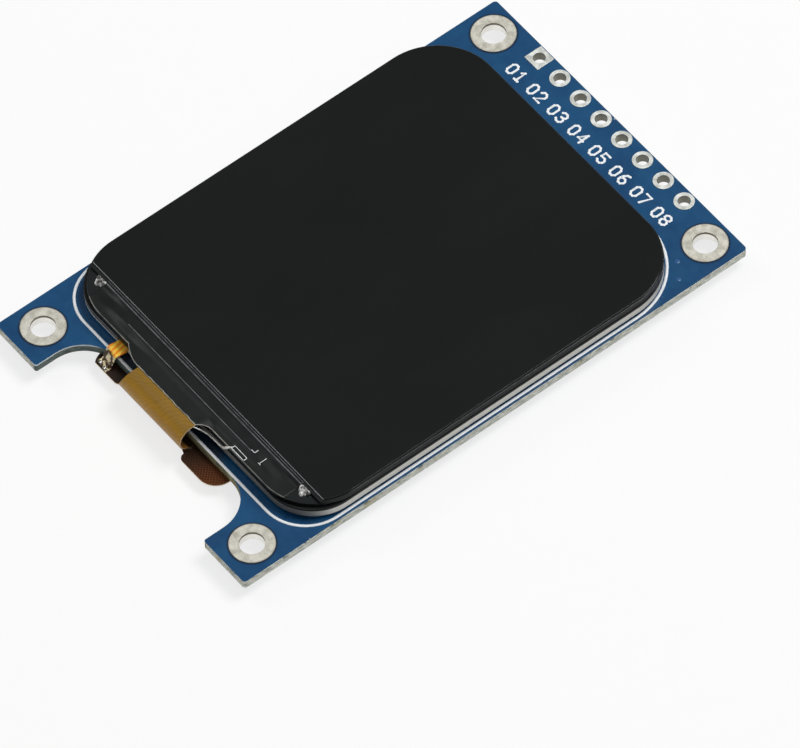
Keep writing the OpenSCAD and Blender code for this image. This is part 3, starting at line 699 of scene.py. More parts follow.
def flex_finish():
    coat = begin("amber flex")
    run = coat.y + (coat.z - FLEX.top) * 0.8
    bend = cloud(coat, 0.35, 2.0) * 2.4
    tracks = step(wave(coat.x * 0.82 - run * 0.57 + bend, NET_PITCH), 0.25, 0.75)
    tone = cloud(coat, 0.6, 3.0)
    pattern = tracks * 0.2 + tone * 0.8
    # The bent part of the neck is painted brighter than its flat top, as painted light; towards the
    # bottom it turns darker and redder.
    flat = blend(pattern, (120, 91, 27), (154, 117, 44))
    bent_painted_light = blend(pattern, (154, 112, 30), (194, 146, 52))
    amber = blend(step(coat.z, FLEX.top - 0.02, FLEX.top - 0.5), flat, bent_painted_light)
    low = step(coat.z, 2.5, 1.6)
    amber = blend(low * 0.6, amber, (150, 98, 62))
    slants = [step(wave(way, NET_PITCH), 0.62, 0.8) for way in (coat.x + coat.y, coat.x - coat.y)]
    net = coat.x.maths("MINIMUM", slants[0] + slants[1], 1.0)
    # Painted shade: the shoulder net is darker near the neck, under the fold.
    near = blend(net * 0.8, (26, 17, 11), (56, 34, 18))
    far = blend(net * 0.8, (46, 21, 5), (108, 56, 14))
    dark = blend(step(coat.x, 2.8, 6.2), near, far)
    dark = blend(step(coat.x, -3.5, -5.0) * 0.75, dark, (44, 32, 25))
    inside = step(abs(coat.x - FLEX_X), TAIL_HALF + 0.1, TAIL_HALF - 0.1)
    straight = step(wave(coat.x - FLEX_X, TAIL_PITCH), 0.3, 0.5) * inside
    woven = blend(net * 0.6, (108, 70, 22), (134, 90, 32))
    tail = blend(straight, woven, (160, 112, 40))
    plate = step(coat.z, TAIL_TOP + 0.12, TAIL_TOP + 0.05)
    below = step(coat.up, -0.3, -0.7)
    base = blend(plate, amber, blend(below, dark, tail))
    sideways = coat.turn.maths("MAXIMUM", abs(coat.turn), abs(coat.along) * plate)
    edge = step(sideways, 0.5, 0.8)
    base = blend(edge * 0.9, base, (240, 206, 168))
    shape = tracks * 0.6 + tone * 0.4
    return end(coat, base, tone * 0.14 + 0.3, height=shape, depth=0.005, shine=0.25)


eased("main_flex", flex_finish(), "flex_amber", 0.015)

# %% [markdown]
# ## The web beside the neck
#
# The slit that frees the neck from its right shoulder is not cut right to the fold. A narrow web of
# film stays there and is pulled up with the neck, so that no light shows between the two. It follows
# the fold, so it is built in rings along the arc, each from the neck's edge down to the shoulder.

# %% Build the web
FOLD_Y, FLEX_T, SLIT = -19.2, 0.12, 0.1
FOLD_Z, FOLD_R = (FLEX.top + FLEX.bottom) / 2, (FLEX.top - FLEX.bottom) / 2
WEB_TURN, WEB_RINGS, WEB_BITE = math.radians(57), 14, 0.02


def web_ring(shape, angle):
    """Four corners of the web's section at an angle of the fold."""
    corners = []
    for radius in (FOLD_R - FLEX_T, FOLD_R):
        y, z = FOLD_Y - radius * math.sin(angle), FOLD_Z - radius * math.cos(angle)
        corners.append((NECK_RIGHT - WEB_BITE, y, z))
    y = FOLD_Y - (FOLD_R - FLEX_T / 2) * math.sin(angle)
    for z in (TAIL_TOP - FLEX_T, TAIL_TOP):
        corners.append((NECK_RIGHT + SLIT + WEB_BITE, y, z))
    return [shape.verts.new(corner) for corner in corners]


def web_mesh():
    shape = bmesh.new()
    rings = [web_ring(shape, WEB_TURN * i / WEB_RINGS) for i in range(WEB_RINGS + 1)]
    for near, far in zip(rings, rings[1:]):
        for i in range(4):
            shape.faces.new((near[i - 1], near[i], far[i], far[i - 1]))
    shape.faces.new(rings[0])
    shape.faces.new(reversed(rings[-1]))
    bmesh.ops.recalc_face_normals(shape, faces=shape.faces)
    return filled(bpy.data.meshes.new("web"), shape)


def web_finish():
    coat = begin("flex film in painted shade")
    # Its dark brown is painted shade, the same as on the shoulder beside the neck.
    tone = cloud(coat, 2.5, 3.0)
    base = blend(step(tone, 0.3, 0.7), (26, 17, 11), (58, 36, 20))
    return end(coat, base, tone * 0.14 + 0.3, height=tone, depth=0.005, shine=0.25)


web_work = show("web_work", web_mesh(), web_finish())
placed("shoulder_web", flatten(web_work, MM), "flex_amber")

# %% [markdown]
# ## The lamp tab
#
# The lamps inside the backlight get their current through a narrow tab that comes out beside the neck.
# Near the panel it shows three gold tracks, and where it slopes down to its solder joints the film is
# scraped off and tinned, so it turns pale there.

# %% Tab finish
TAB_PITCH, TAB_LEAN, TINNED_Z = 0.42, 0.14, 2.38


def tab_finish():
    coat = begin("gold lamp tab")
    lean = coat.x + coat.y * TAB_LEAN
    stripes = step(wave(lean + 0.1, TAB_PITCH), 0.3, 0.6)
    tone = cloud(coat, 1.5, 3.0)
    gold = blend(stripes, (252, 146, 18), (255, 208, 66))
    tinned = step(coat.z + tone * 0.3, TINNED_Z + 0.08, TINNED_Z - 0.08)
    dull = step(cloud(coat, 2.6, 3.0), 0.44, 0.53)
    pale = blend(dull, (236, 220, 180), (66, 44, 18))
    base = blend(tinned, gold, pale)
    return end(coat, base, tone * 0.2 + 0.24, tinned * 0.3, stripes + dull * 0.5, 0.006)


eased("lamp_strip", tab_finish(), "strip_gold", 0.01)

# %% [markdown]
# ## Solder joints
#
# Solder sets in smooth round forms. The CAD solids are plain wedges and half rounds in the right
# places, so a wide bevel of several steps melts their edges, and the solder finish does the rest.

# %% Make the solder joints
eased("tab_solder", solder, "solder", 0.014, 3)
eased("tail_solder", solder, "solder", 0.016, 3)
eased("part_solder", solder, "solder", 0.035, 3)

# %% [markdown]
# ## Parts on the back
#
# Two moulded three-legged parts and a few chip parts sit on the back. Moulded epoxy is black with a
# fine grain of glass filler. A chip capacitor is tan ceramic all through. A chip resistor is white
# ceramic with a black glaze on the side that faces away from the board.


# %% Finishes of the parts on the back
def epoxy_finish():
    coat = begin("moulded black epoxy")
    filler = cloud(coat, 18.0, 2.0)
    haze = cloud(coat, 0.9, 3.0)
    base = blend(filler * 0.5 + haze * 0.5, (26, 26, 27), (46, 46, 47))
    return end(coat, base, haze * 0.14 + 0.5, height=filler, depth=0.006)


def capacitor_finish():
    coat = begin("tan ceramic")
    fired = cloud(coat, 3.0, 4.0)
    base = blend(step(fired, 0.3, 0.7), (146, 112, 78), (184, 150, 110))
    return end(coat, base, fired * 0.2 + 0.4, height=fired, depth=0.004)


def resistor_finish():
    coat = begin("glazed resistor ceramic")
    fired = cloud(coat, 5.0, 3.0)
    glaze = step(coat.up, -0.5, -0.8)
    base = blend(glaze, (214, 212, 204), blend(fired, (20, 21, 24), (34, 35, 38)))
    return end(coat, base, 0.62 - glaze * 0.3 + fired * 0.06, height=fired, depth=0.004)


epoxy, tan_ceramic, glazed = epoxy_finish(), capacitor_finish(), resistor_finish()

# %% Make the parts on the back
eased("three_leg_bodies", epoxy, "epoxy_black", 0.04, 3)
eased("three_leg_legs", leg_tin, "leg_tin", 0.03)
eased("capacitor_bodies", tan_ceramic, "capacitor_tan", 0.04)
eased("resistor_bodies", glazed, "resistor_black", 0.03)
eased("end_caps", cap_tin, "cap_tin", 0.05, 3)

# %% [markdown]
# ## Printed lines and covered tracks
#
# White ink on the board marks the outline of the panel and the number of each pin, and copper tracks
# run under the lacquer on the back. All are flat strips of one width along a path. A Geometry Nodes
# tree makes them: a path of edges becomes a curve, its corners are rounded by an amount stored on each
# point, and a thin rectangle is swept along it. Round dots on the points give pen strokes their ends.
# Faces at one height would fight over the light, so each dot stands a hair higher than its strip.


# %% Helpers for geometry trees
def new_tree(name, inputs):
    """A geometry tree with named inputs; gives the tree, a wire to add nodes, and the inputs."""
    tree = bpy.data.node_groups.new(name, "GeometryNodeTree")
    tree.interface.new_socket("Geometry", in_out="INPUT", socket_type="NodeSocketGeometry")
    for label, kind in inputs.items():
        tree.interface.new_socket(label, in_out="INPUT", socket_type="NodeSocket" + kind)
    tree.interface.new_socket("Geometry", in_out="OUTPUT", socket_type="NodeSocketGeometry")
    wire = Wire(tree)
    return tree, wire, wire.node("NodeGroupInput", out=("Geometry", *inputs))


def close_tree(wire, geometry, material):
    """Ends a tree: makes its copies real and gives them their material."""
    real = wire.node("GeometryNodeRealizeInstances", {"Geometry": geometry})
    coated = wire.node("GeometryNodeSetMaterial", {"Geometry": real, "Material": material})
    wire.node("NodeGroupOutput", {0: coated})


def path_mesh(name, lines, closed=False, **fields):
    """Edges through points in millimetres, with numbers stored on the points."""
    points, edges = [], []
    for line in lines:
        first = len(points)
        points += [tuple(value * MM for value in point) for point in line]
        edges += [(first + i, first + i + 1) for i in range(len(line) - 1)]
        if closed:
            edges.append((len(points) - 1, first))
    mesh = bpy.data.meshes.new(name)
    mesh.from_pydata(points, edges, [])
    for field, values in fields.items():
        mesh.attributes.new(field, "FLOAT", "POINT").data.foreach_set("value", values)
    return mesh


def grown(name, slot, tree, path, sizes):
    """A piece that a geometry tree grows on a path."""
    work = show(name + "_path", path)
    modifier = work.modifiers.new("grow", "NODES")
    modifier.node_group = tree
    for socket in tree.interface.items_tree:
        if socket.in_out == "INPUT" and socket.name in sizes:
            modifier[socket.identifier] = sizes[socket.name]
    return placed(name, flatten(work), slot)


print("a tree ends in Realize Instances and Set Material")

# %% Tree for strips along a path
CORNER_POINTS, DOT_POINTS, DOT_LIFTS = 14, 12, 7


def strip_tree():
    tree, wire, (path, width, thick, dotted, material) = new_tree(
        "strip along a path",
        {"Width": "Float", "Thickness": "Float", "Round ends": "Bool", "Material": "Material"},
    )
    corner = wire.node("GeometryNodeInputNamedAttribute", {"data_type": "FLOAT", "Name": "corner"})
    line = wire.node("GeometryNodeMeshToCurve", {"Mesh": path})
    turns = {"mode": "POLY", "Count": CORNER_POINTS, "Radius": corner, "Limit Radius": True}
    line = wire.node("GeometryNodeFilletCurve", {**turns, "Curve": line})
    line = wire.node("GeometryNodeSetCurveNormal", {"mode": "Z_UP", "Curve": line})
    section = wire.node("GeometryNodeCurvePrimitiveQuadrilateral", {"Width": width, "Height": thick})
    sweep = {"Curve": line, "Profile Curve": section, "Fill Caps": True}
    strip = wire.node("GeometryNodeCurveToMesh", sweep)
    disc = {"Vertices": DOT_POINTS, "Radius": width * 0.5, "Depth": thick * 1.1}
    dot = wire.node("GeometryNodeMeshCylinder", disc)
    index = wire.node("GeometryNodeInputIndex")
    level = index.maths("MODULO", index, float(DOT_LIFTS))
    lift = wire.node("ShaderNodeCombineXYZ", {"Z": level * thick * 0.02})
    points = wire.node("GeometryNodeMergeByDistance", {"Geometry": path, "Distance": 1e-6})
    points = wire.node("GeometryNodeSetPosition", {"Geometry": points, "Offset": lift})
    copies = {"Points": points, "Selection": dotted, "Instance": dot}
    dots = wire.node("GeometryNodeInstanceOnPoints", copies)
    both = wire.node("GeometryNodeJoinGeometry", {0: [strip, dots]})
    close_tree(wire, both, material)
    return tree


def strip_sizes(width, thick, material, dotted=False):
    sizes = {"Width": width * MM, "Thickness": thick * MM}
    return {**sizes, "Round ends": dotted, "Material": material}


STRIP = strip_tree()
print(f"{STRIP.name}: {len(STRIP.nodes)} nodes")


# %% White print on the board
def ink_finish():
    coat = begin("white print")
    screen = cloud(coat, 7.0, 3.0)
    thin = step(cloud(coat, 1.1, 4.0), 0.62, 0.8)
    white = blend(screen, (236, 241, 246), (252, 254, 255))
    base = blend(thin * 0.35, white, (150, 170, 195))
    return end(coat, base, screen * 0.15 + 0.5, height=screen, depth=0.004)


INK, INK_T = ink_finish(), 0.02
INK_Z = BOARD_TOP + INK_T / 2
OUTLINE_X, OUTLINE_HEAD, OUTLINE_FOOT, OUTLINE_W = 15.14, 19.78, -18.93, 0.23
HEAD_R, FOOT_R = 6.0, 3.8
across = (-OUTLINE_X, OUTLINE_X, OUTLINE_X, -OUTLINE_X)
along = (OUTLINE_FOOT, OUTLINE_FOOT, OUTLINE_HEAD, OUTLINE_HEAD)
radii = [radius * MM for radius in (FOOT_R, FOOT_R, HEAD_R, HEAD_R)]
outline_path = path_mesh("outline", [[*zip(across, along, [INK_Z] * 4)]], True, corner=radii)
grown("printed_outline", "board_blue", STRIP, outline_path, strip_sizes(OUTLINE_W, INK_T, INK))

# %% [markdown]
# ## Pin numbers
#
# Each pin hole has its plain number beside it, drawn with a round pen in straight strokes as board
# makers do. The strokes are short paths for the same tree.

# %% Pen strokes of the numbers
STROKES = {
    0: [[(0.3, 0), (0.7, 0), (1, 0.2), (1, 0.8), (0.7, 1), (0.3, 1), (0, 0.8), (0, 0.2), (0.3, 0)]],
    1: [[(0.15, 0.78), (0.5, 1), (0.5, 0)], [(0.15, 0), (0.85, 0)]],
    2: [[(0, 0.8), (0.3, 1), (0.7, 1), (1, 0.8), (1, 0.62), (0, 0), (1, 0)]],
    3: [[(0, 0.86), (0.3, 1), (0.7, 1), (1, 0.84), (1, 0.66), (0.7, 0.52), (0.4, 0.52)],
        [(0.7, 0.52), (1, 0.38), (1, 0.18), (0.7, 0), (0.3, 0), (0, 0.14)]],
    4: [[(0.78, 1), (0, 0.3), (1, 0.3)], [(0.78, 1), (0.78, 0)]],
    5: [[(1, 1), (0.08, 1), (0, 0.56), (0.7, 0.58), (1, 0.4), (1, 0.2), (0.7, 0), (0.3, 0),
         (0, 0.14)]],
    6: [[(0.85, 1), (0.45, 0.94), (0.1, 0.66), (0, 0.4), (0, 0.2), (0.3, 0), (0.7, 0), (1, 0.2),
         (1, 0.38), (0.7, 0.55), (0.3, 0.55), (0, 0.38)]],
    7: [[(0, 1), (1, 1), (0.35, 0)]],
    8: [[(0.3, 0.53), (0, 0.68), (0, 0.85), (0.3, 1), (0.7, 1), (1, 0.85), (1, 0.68), (0.7, 0.53),
         (0.3, 0.53), (0, 0.36), (0, 0.17), (0.3, 0), (0.7, 0), (1, 0.17), (1, 0.36), (0.7, 0.53)]],
}
PINS, PITCH = 8, 2.54
DIGIT_W, DIGIT_H, DIGIT_GAP, NUMBER_Y, PEN = 0.58, 0.98, 1.0, 20.62, 0.2


def pin_x(pin):
    return (pin - (PINS - 1) / 2) * PITCH


def number_lines(pin):
    """Strokes of a pin's two-figure number, on the board beside its hole."""
    lines = []
    for place, figure in enumerate((0, pin + 1)):
        left = pin_x(pin) + (place - 0.5) * DIGIT_GAP - DIGIT_W / 2
        for layer, stroke in enumerate(STROKES[figure]):
            z = INK_Z + layer * INK_T * 0.03
            lines.append([(left + a * DIGIT_W, NUMBER_Y + b * DIGIT_H, z) for a, b in stroke])
    return lines


number_path = path_mesh("numbers", sum((number_lines(pin) for pin in range(PINS)), []))
grown("pin_numbers", "board_blue", STRIP, number_path, strip_sizes(PEN, INK_T, INK, True))

# %% [markdown]
# ## Tracks and vias under the lacquer
#
# On the back, six tracks run from the pins past the chip parts to the soldered tail, and two feed the
# three-legged parts. Lacquer covers them, so they show as low blue ridges. Two vias near one corner
# of the front are covered too. A second tree repeats one low cone at each point of a mesh.

# %% Tracks on the back
TRACK_T, TRACK_W = 0.02, 0.22
PAD_EDGE, JOINT_EDGE, LEAD, LANE_END = 22.6, -8.35, 0.4, 2.0
FEED_BEND, LEG_X, LEG_Y = 18.2, 9.45, 16.7
TRACK_Z = BOARD_BACK - TRACK_T / 2
CONTACTS = (-5.5, -2.5, -1.5, 1.5, 2.5, 5.5)
LANES = (-5.8, -2.75, -2.3, 0.45, 0.9, 3.85)


def track(pin, contact, lane):
    """A track from a contact of the tail, along a free lane, to a pin."""
    start, stop, lead_end = FLEX_X + contact * TAIL_PITCH, pin_x(pin), JOINT_EDGE + LEAD
    first = [(start, JOINT_EDGE), (start, lead_end), (lane, lead_end + abs(lane - start))]
    return first + [(lane, LANE_END), (stop, LANE_END + abs(stop - lane)), (stop, PAD_EDGE)]


def feed(pin, leg):
    """A short track from a pin to a leg."""
    x = pin_x(pin)
    return [(x, PAD_EDGE), (x, FEED_BEND), (leg, FEED_BEND - abs(leg - x)), (leg, LEG_Y)]


def track_finish():
    coat = begin("lacquer over a track")
    tone = cloud(coat, 0.4, 3.0)
    base = blend(tone, (34, 80, 130), (44, 94, 146))
    return end(coat, base, tone * 0.1 + 0.28, height=cloud(coat, 5.0), depth=0.003)


TRACK = track_finish()
lines = [track(i + 1, *route) for i, route in enumerate(zip(CONTACTS, LANES))]
lines += [feed(0, -LEG_X), feed(PINS - 1, LEG_X)]
track_path = path_mesh("tracks", [[(x, y, TRACK_Z) for x, y in line] for line in lines])
grown("back_tracks", "board_blue", STRIP, track_path, strip_sizes(TRACK_W, TRACK_T, TRACK, True))

# %% Vias
VIA_PLACES, VIA_R, VIA_H = [(12.97, 19.39), (14.34, 18.39)], 0.2, 0.02


def via_tree():
    tree, wire, (points, radius, height, material) = new_tree(
        "covered vias", {"Radius": "Float", "Height": "Float", "Material": "Material"}
    )
    cap = {"Vertices": 16, "Radius Top": radius * 0.6, "Radius Bottom": radius, "Depth": height}
    cone = wire.node("GeometryNodeMeshCone", cap)
    vias = wire.node("GeometryNodeInstanceOnPoints", {"Points": points, "Instance": cone})
    close_tree(wire, vias, material)
    return tree


via_path = path_mesh("via_points", [[(x, y, BOARD_TOP)] for x, y in VIA_PLACES])
via_sizes = {"Radius": VIA_R * MM, "Height": VIA_H * MM, "Material": TRACK}
grown("covered_vias", "board_blue", via_tree(), via_path, via_sizes)

# %% [markdown]
# ## Marks on the ledge
#
# The panel maker aligns chip and flex by small plain marks at the end of the chip. They shine through
# the film as thin pale lines. Their paths take their height from the film itself, so they lie on it.

# %% Alignment marks
MARK_W, MARK_T, MARK_LIFT, MARK_PARTS = 0.05, 0.006, 0.004, 6


def on_film(*corners):
    """A path on the film through corners, with points between them so that it follows the slope."""
    path = []
    for (x0, y0), (x1, y1) in zip(corners, corners[1:]):
        for i in range(MARK_PARTS + 1):
            x, y = x0 + (x1 - x0) * i / MARK_PARTS, y0 + (y1 - y0) * i / MARK_PARTS
            path.append((x, y, film_top(x, y) + MARK_LIFT))
    return path


mark_lines = [
    on_film((7.6, -16.7), (7.6, -17.08), (7.22, -17.08)),
    on_film((8.56, -16.68), (8.56, -17.4)),
    on_film((8.42, -17.4), (8.7, -17.4)),
    on_film((6.0, -18.06), (6.0, -17.74), (7.5, -17.74), (7.5, -18.06), (6.0, -18.06)),
]
mark_path = path_mesh("marks", mark_lines)
grown("alignment_marks", "film_black", STRIP, mark_path, strip_sizes(MARK_W, MARK_T, INK))

# %% [markdown]
# ## Clear sealant
#
# A thread of milky sealant runs from the neck down to the foot's wall, along it and up over the glass,
# and a clear lump closes each end of the upper glass. The thread follows a path, so a tree sweeps a
# circle along it, scaled by a thickness stored on each point, and pushes the surface in and out by
# seeded noise. The lumps have no path. They are a few balls that a remesh melts into one, cut flat
# where they meet the glass.


# %% Sealant finish
def sealant_finish(name, clear, through):
    coat = begin(name)
    cure_and_glints = cloud(coat, 2.0, 3.0)
    # The white patches are painted glints on the sealant.
    base = blend(step(cure_and_glints, 0.42, 0.58), clear, (255, 255, 253))
    glow = {"Transmission Weight": through, "IOR": 1.48}
    return end(coat, base, cure_and_glints * 0.12 + 0.04, height=cloud(coat, 5.0), depth=0.02, fixed=glow)


SEALANT = sealant_finish("clear sealant", (96, 94, 90), 0.35)
# The thread is milky sealant, and its near-white colour is also a painted highlight along it.
MILKY_PAINTED_BRIGHT = sealant_finish("milky sealant", (232, 229, 222), 0.1)

# %% Thread of sealant along the foot
THREAD_RINGS, RING_POINTS, BUMPS_PER_M, BUMP_H, BUMP_SEED = 70, 14, 3200.0, 0.03, 4.0


def thread_tree():
    tree, wire, (path, lumps, seed, material) = new_tree(
        "sealant thread", {"Lumps": "Float", "Seed": "Float", "Material": "Material"}
    )
    thick = wire.node("GeometryNodeInputNamedAttribute", {"data_type": "FLOAT", "Name": "thick"})
    line = wire.node("GeometryNodeMeshToCurve", {"Mesh": path})
    count = {"mode": "COUNT", "Curve": line, "Count": THREAD_RINGS}
    line = wire.node("GeometryNodeResampleCurve", count)
    ring = wire.node("GeometryNodeCurvePrimitiveCircle", {"Resolution": RING_POINTS, "Radius": 1.0})
    sweep = {"Curve": line, "Profile Curve": ring, "Scale": thick, "Fill Caps": True}
    tube = wire.node("GeometryNodeCurveToMesh", sweep)
    rough = {"noise_dimensions": "4D", "W": seed, "Scale": BUMPS_PER_M, "Detail": 1.0}
    bumps = wire.node("ShaderNodeTexNoise", rough)
    out = wire.node("GeometryNodeInputNormal")
    outward = {"operation": "SCALE", 0: out, "Scale": (bumps - 0.5) * lumps}
    push = wire.node("ShaderNodeVectorMath", outward)
    tube = wire.node("GeometryNodeSetPosition", {"Geometry": tube, "Offset": push})
    close_tree(wire, tube, material)
    return tree


THREAD_POINTS = [
    (2.6, -19.08, 3.42, 0.04), (2.72, -18.92, 3.3, 0.06), (2.9, -18.7, 3.08, 0.07),
    (3.12, -18.45, 2.78, 0.07), (3.4, -18.27, 2.56, 0.07), (4.0, -18.25, 2.58, 0.06),
    (4.6, -18.25, 2.63, 0.06), (5.0, -18.26, 2.7, 0.07), (5.3, -18.27, 2.95, 0.11),
    (5.55, -18.25, 3.18, 0.13), (5.75, -18.2, 3.38, 0.1), (5.92, -18.07, 3.47, 0.07),
    (6.04, -17.85, 3.48, 0.03),
]
thread_path = path_mesh(
    "thread", [[p[:3] for p in THREAD_POINTS]], thick=[p[3] * MM for p in THREAD_POINTS]
)
thread_sizes = {"Lumps": BUMP_H * MM, "Seed": BUMP_SEED, "Material": MILKY_PAINTED_BRIGHT}
thread = grown("sealant_thread", "bead_clear", thread_tree(), thread_path, thread_sizes)
thread.data.shade_smooth()

# %% Lumps of sealant at the ends of the upper glass
BEAD_X, VOXEL, RELAX = 12.6, 0.025, 14
LUMPS = [
    (0.0, -0.18, 0.08, 0.3), (0.36, -0.1, 0.1, 0.22), (-0.34, -0.14, 0.06, 0.24),
    (0.08, -0.5, 0.0, 0.24), (-0.24, -0.4, 0.04, 0.16), (0.3, -0.36, 0.02, 0.14),
]


def lump_mesh():
    shape = bmesh.new()
    for side in (-1, 1):
        for across, along, upward, radius in LUMPS:
            centre = (side * (BEAD_X + across), GLASS_EDGE + along, TOP_OF_LEDGE + upward)
            place = Matrix.Translation(centre)
            bmesh.ops.create_icosphere(shape, subdivisions=3, radius=radius, matrix=place)
    return filled(bpy.data.meshes.new("lumps"), shape)


def cut_flat(mesh, place, way):
    """Cuts off what lies past a plane and closes the cut."""
    shape = bmesh.new()
    shape.from_mesh(mesh)
    everything = [*shape.verts, *shape.edges, *shape.faces]
    made = bmesh.ops.bisect_plane(
        shape, geom=everything, dist=1e-5, plane_co=place, plane_no=way, clear_outer=True
    )
    rim = [part for part in made["geom_cut"] if isinstance(part, bmesh.types.BMEdge)]
    bmesh.ops.holes_fill(shape, edges=rim, sides=0)
    filled(mesh, shape)


lump_work = show("lump_work", lump_mesh(), SEALANT)
melt = lump_work.modifiers.new("melt", "REMESH")
melt.mode, melt.voxel_size = "VOXEL", VOXEL
relax = lump_work.modifiers.new("relax", "SMOOTH")
relax.iterations = RELAX
lumps = flatten(lump_work)
cut_flat(lumps, (0, GLASS_EDGE, 0), (0, 1, 0))
cut_flat(lumps, (0, 0, TOP_OF_LEDGE), (0, 0, -1))
lumps.transform(Matrix.Scale(MM, 4))
lumps.shade_smooth()
placed("sealant_lumps", lumps, "bead_clear", "edge_beads")

# %% [markdown]
# ## Inside the panel
#
# The sheets of the backlight, the lamps and the chip can't be seen, but the model keeps them, so each
# gets its own finish: a white reflector, a clear guide with dots that let the light out, a milky
# diffuser, prism sheets with fine ribs, black rim tape, lamps with a yellow window and a dark chip.


# %% Finishes inside the panel
def sheet_finish(name, low, high, rough, clear, relief):
    """A thin optical sheet between two colours; relief makes its height from the coat."""
    coat = begin(name)
    tone = cloud(coat, 0.5, 3.0)
    base = blend(tone, low, high)
    optics = {"Transmission Weight": clear, "IOR": 1.5}
    return end(coat, base, tone * 0.1 + rough, height=relief(coat), depth=0.006, fixed=optics)


def ribs(coat):
    return wave(coat.x, 0.05)


def dots(coat):
    return cells(coat, 4.0, 0.15)


def grain(per_mm):
    return lambda coat: cloud(coat, per_mm)


def lamp_finish():
    coat = begin("white lamp case")
    window = step(coat.along, 0.6, 0.9)
    tone = cloud(coat, 3.0, 3.0)
    case = blend(tone, (226, 226, 220), (244, 244, 240))
    return end(coat, blend(window, case, (232, 206, 90)), tone * 0.2 + 0.35, height=tone)


def chip_finish():
    coat = begin("bare silicon")
    blocks = wave(coat.x, 0.35) * wave(coat.y, 0.2)
    base = blend(blocks, (52, 53, 58), (78, 80, 86))
    return end(coat, base, blocks * 0.1 + 0.15, 0.6, blocks, 0.002)


PRISM = sheet_finish("ribbed prism sheet", (226, 230, 232), (240, 243, 244), 0.12, 0.9, ribs)
WHITE = sheet_finish("white reflector", (232, 234, 236), (246, 247, 248), 0.35, 0.0, grain(6.0))
CLEAR = sheet_finish("clear light guide", (236, 240, 240), (246, 248, 248), 0.04, 1.0, dots)
MILK = sheet_finish("milky diffuser", (228, 230, 230), (240, 241, 241), 0.5, 0.3, grain(14.0))

# %% Dress what is inside
INSIDE = {
    "reflector": WHITE,
    "light_guide": CLEAR,
    "diffuser": MILK,
    "lower_prism_sheet": PRISM,
    "upper_prism_sheet": PRISM,
    "rim_tape": plastic_finish(),
    "lamps": lamp_finish(),
    "lower_polariser": polariser_finish("lower polariser"),
    "driver_chip": chip_finish(),
}
for node, material in INSIDE.items():
    nodes[node].material_slots[0].material = material
print("dressed inside:", len(INSIDE))

# %% [markdown]
# ## Floor, light and camera
#
# The object lies on a plain white floor under soft studio light. The main lamp hangs high beyond the
# head, and two weak ones stand left and right, all out of the way of what the glossy face mirrors. Each
# lamp's power follows from the share of full daylight that it should give a flat white card, and the
# shares add up to one with the grey world. The floor looks white to the camera and in reflections,
# and keeps a little of the shadow.


# %% Floor
def floor_finish():
    coat = begin("white paper floor")
    camera, glossy, through = coat.node(
        "ShaderNodeLightPath", out=("Is Camera Ray", "Is Glossy Ray", "Is Transmission Ray")
    )
    seen = camera.maths("MINIMUM", camera + glossy + through, 1.0)
    fibre = cloud(coat, 0.5, 3.0)
    paper = coat.node("ShaderNodeBsdfDiffuse", {0: blend(fibre, (244, 244, 244), (248, 248, 248))})
    white = coat.node("ShaderNodeEmission", {"Color": (1, 1, 1, 1), "Strength": 1.0})
    mixed = coat.node("ShaderNodeMixShader", {0: seen * 0.75, 1: paper, 2: white})
    coat.node("ShaderNodeOutputMaterial", {"Surface": mixed})
    return coat.material


FLOOR = 3.0
floor_corners = [(x * FLOOR, y * FLOOR, 0.0) for x, y in ((-1, -1), (1, -1), (1, 1), (-1, 1))]
floor_mesh = bpy.data.meshes.new("floor")
floor_mesh.from_pydata(floor_corners, [], [(0, 1, 2, 3)])
show("floor", floor_mesh, floor_finish())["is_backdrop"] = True
print("floor:", 2 * FLOOR, "m wide")

# %% World and lamps
scene = bpy.context.scene
scene.view_settings.view_transform = "Standard"
scene.world = bpy.data.worlds.new("studio")
scene.world.use_nodes = True
WORLD_SHARE, LAMP_AWAY, LAMP_SIZE = 0.2, 0.6, 0.3
LAMPS = {"head": (165, 62, 0.63), "left": (287, 42, 0.12), "right": (80, 48, 0.05)}
background = scene.world.node_tree.nodes["Background"]
background.inputs["Color"].default_value = (1.0, 1.0, 1.0, 1.0)
background.inputs["Strength"].default_value = WORLD_SHARE


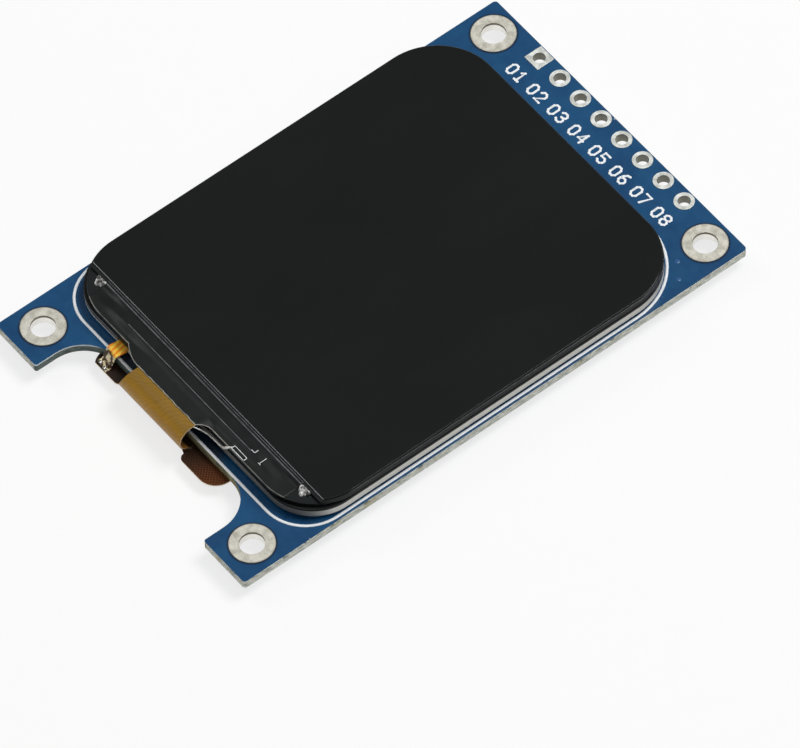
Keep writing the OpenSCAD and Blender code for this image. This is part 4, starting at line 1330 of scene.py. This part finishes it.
def towards(azimuth, elevation):
    """Direction from the object, with azimuth counted from the foot of the board towards +X."""
    a, e = math.radians(azimuth), math.radians(elevation)
    return Vector((math.sin(a) * math.cos(e), -math.cos(a) * math.cos(e), math.sin(e)))


def lamp(name, azimuth, elevation, share):
    """A round lamp that gives a flat white card its share of full daylight."""
    data = bpy.data.lights.new(name, "AREA")
    data.shape, data.size = "DISK", LAMP_SIZE
    data.energy = share * math.pi**2 * LAMP_AWAY**2 / math.sin(math.radians(elevation))
    made = bpy.data.objects.new(name, data)
    back = towards(azimuth, elevation)
    turn = back.to_track_quat("Z", "Y").to_matrix().to_4x4()
    made.matrix_world = Matrix.Translation(back * LAMP_AWAY) @ turn
    scene.collection.objects.link(made)
    print(f"{name}: {data.energy:.2f} W")


for name, setting in LAMPS.items():
    lamp(name, *setting)

# %% Camera
AZIMUTH, ELEVATION, ROLL = 54.805, 54.443, math.radians(-3.588)
TARGET, DISTANCE = Vector((7.788, -3.402, 1.9)) * MM, 918.24 * MM
SENSOR, FOCAL_PX, PHOTO_W, CLIP_NEAR, CLIP_FAR = 36.0, 12127.2, 800, 0.05, 20.0
back = towards(AZIMUTH, ELEVATION)
level = Vector((math.cos(math.radians(AZIMUTH)), math.sin(math.radians(AZIMUTH)), 0.0))
above = back.cross(level)
right = level * math.cos(ROLL) + above * math.sin(ROLL)
upward = above * math.cos(ROLL) - level * math.sin(ROLL)
lens = bpy.data.cameras.new("camera")
lens.sensor_fit, lens.sensor_width = "HORIZONTAL", SENSOR
lens.lens = FOCAL_PX * SENSOR / PHOTO_W
lens.clip_start, lens.clip_end = CLIP_NEAR, CLIP_FAR
camera = bpy.data.objects.new("camera", lens)
turn = Matrix((right, upward, back)).transposed().to_4x4()
camera.matrix_world = Matrix.Translation(TARGET + back * DISTANCE) @ turn
scene.collection.objects.link(camera)
scene.camera = camera
print("lens:", round(lens.lens, 2), "mm")

# %% Sizes
visual_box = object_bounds()
print("visual box in mm:", in_mm(visual_box[0]), in_mm(visual_box[1]))
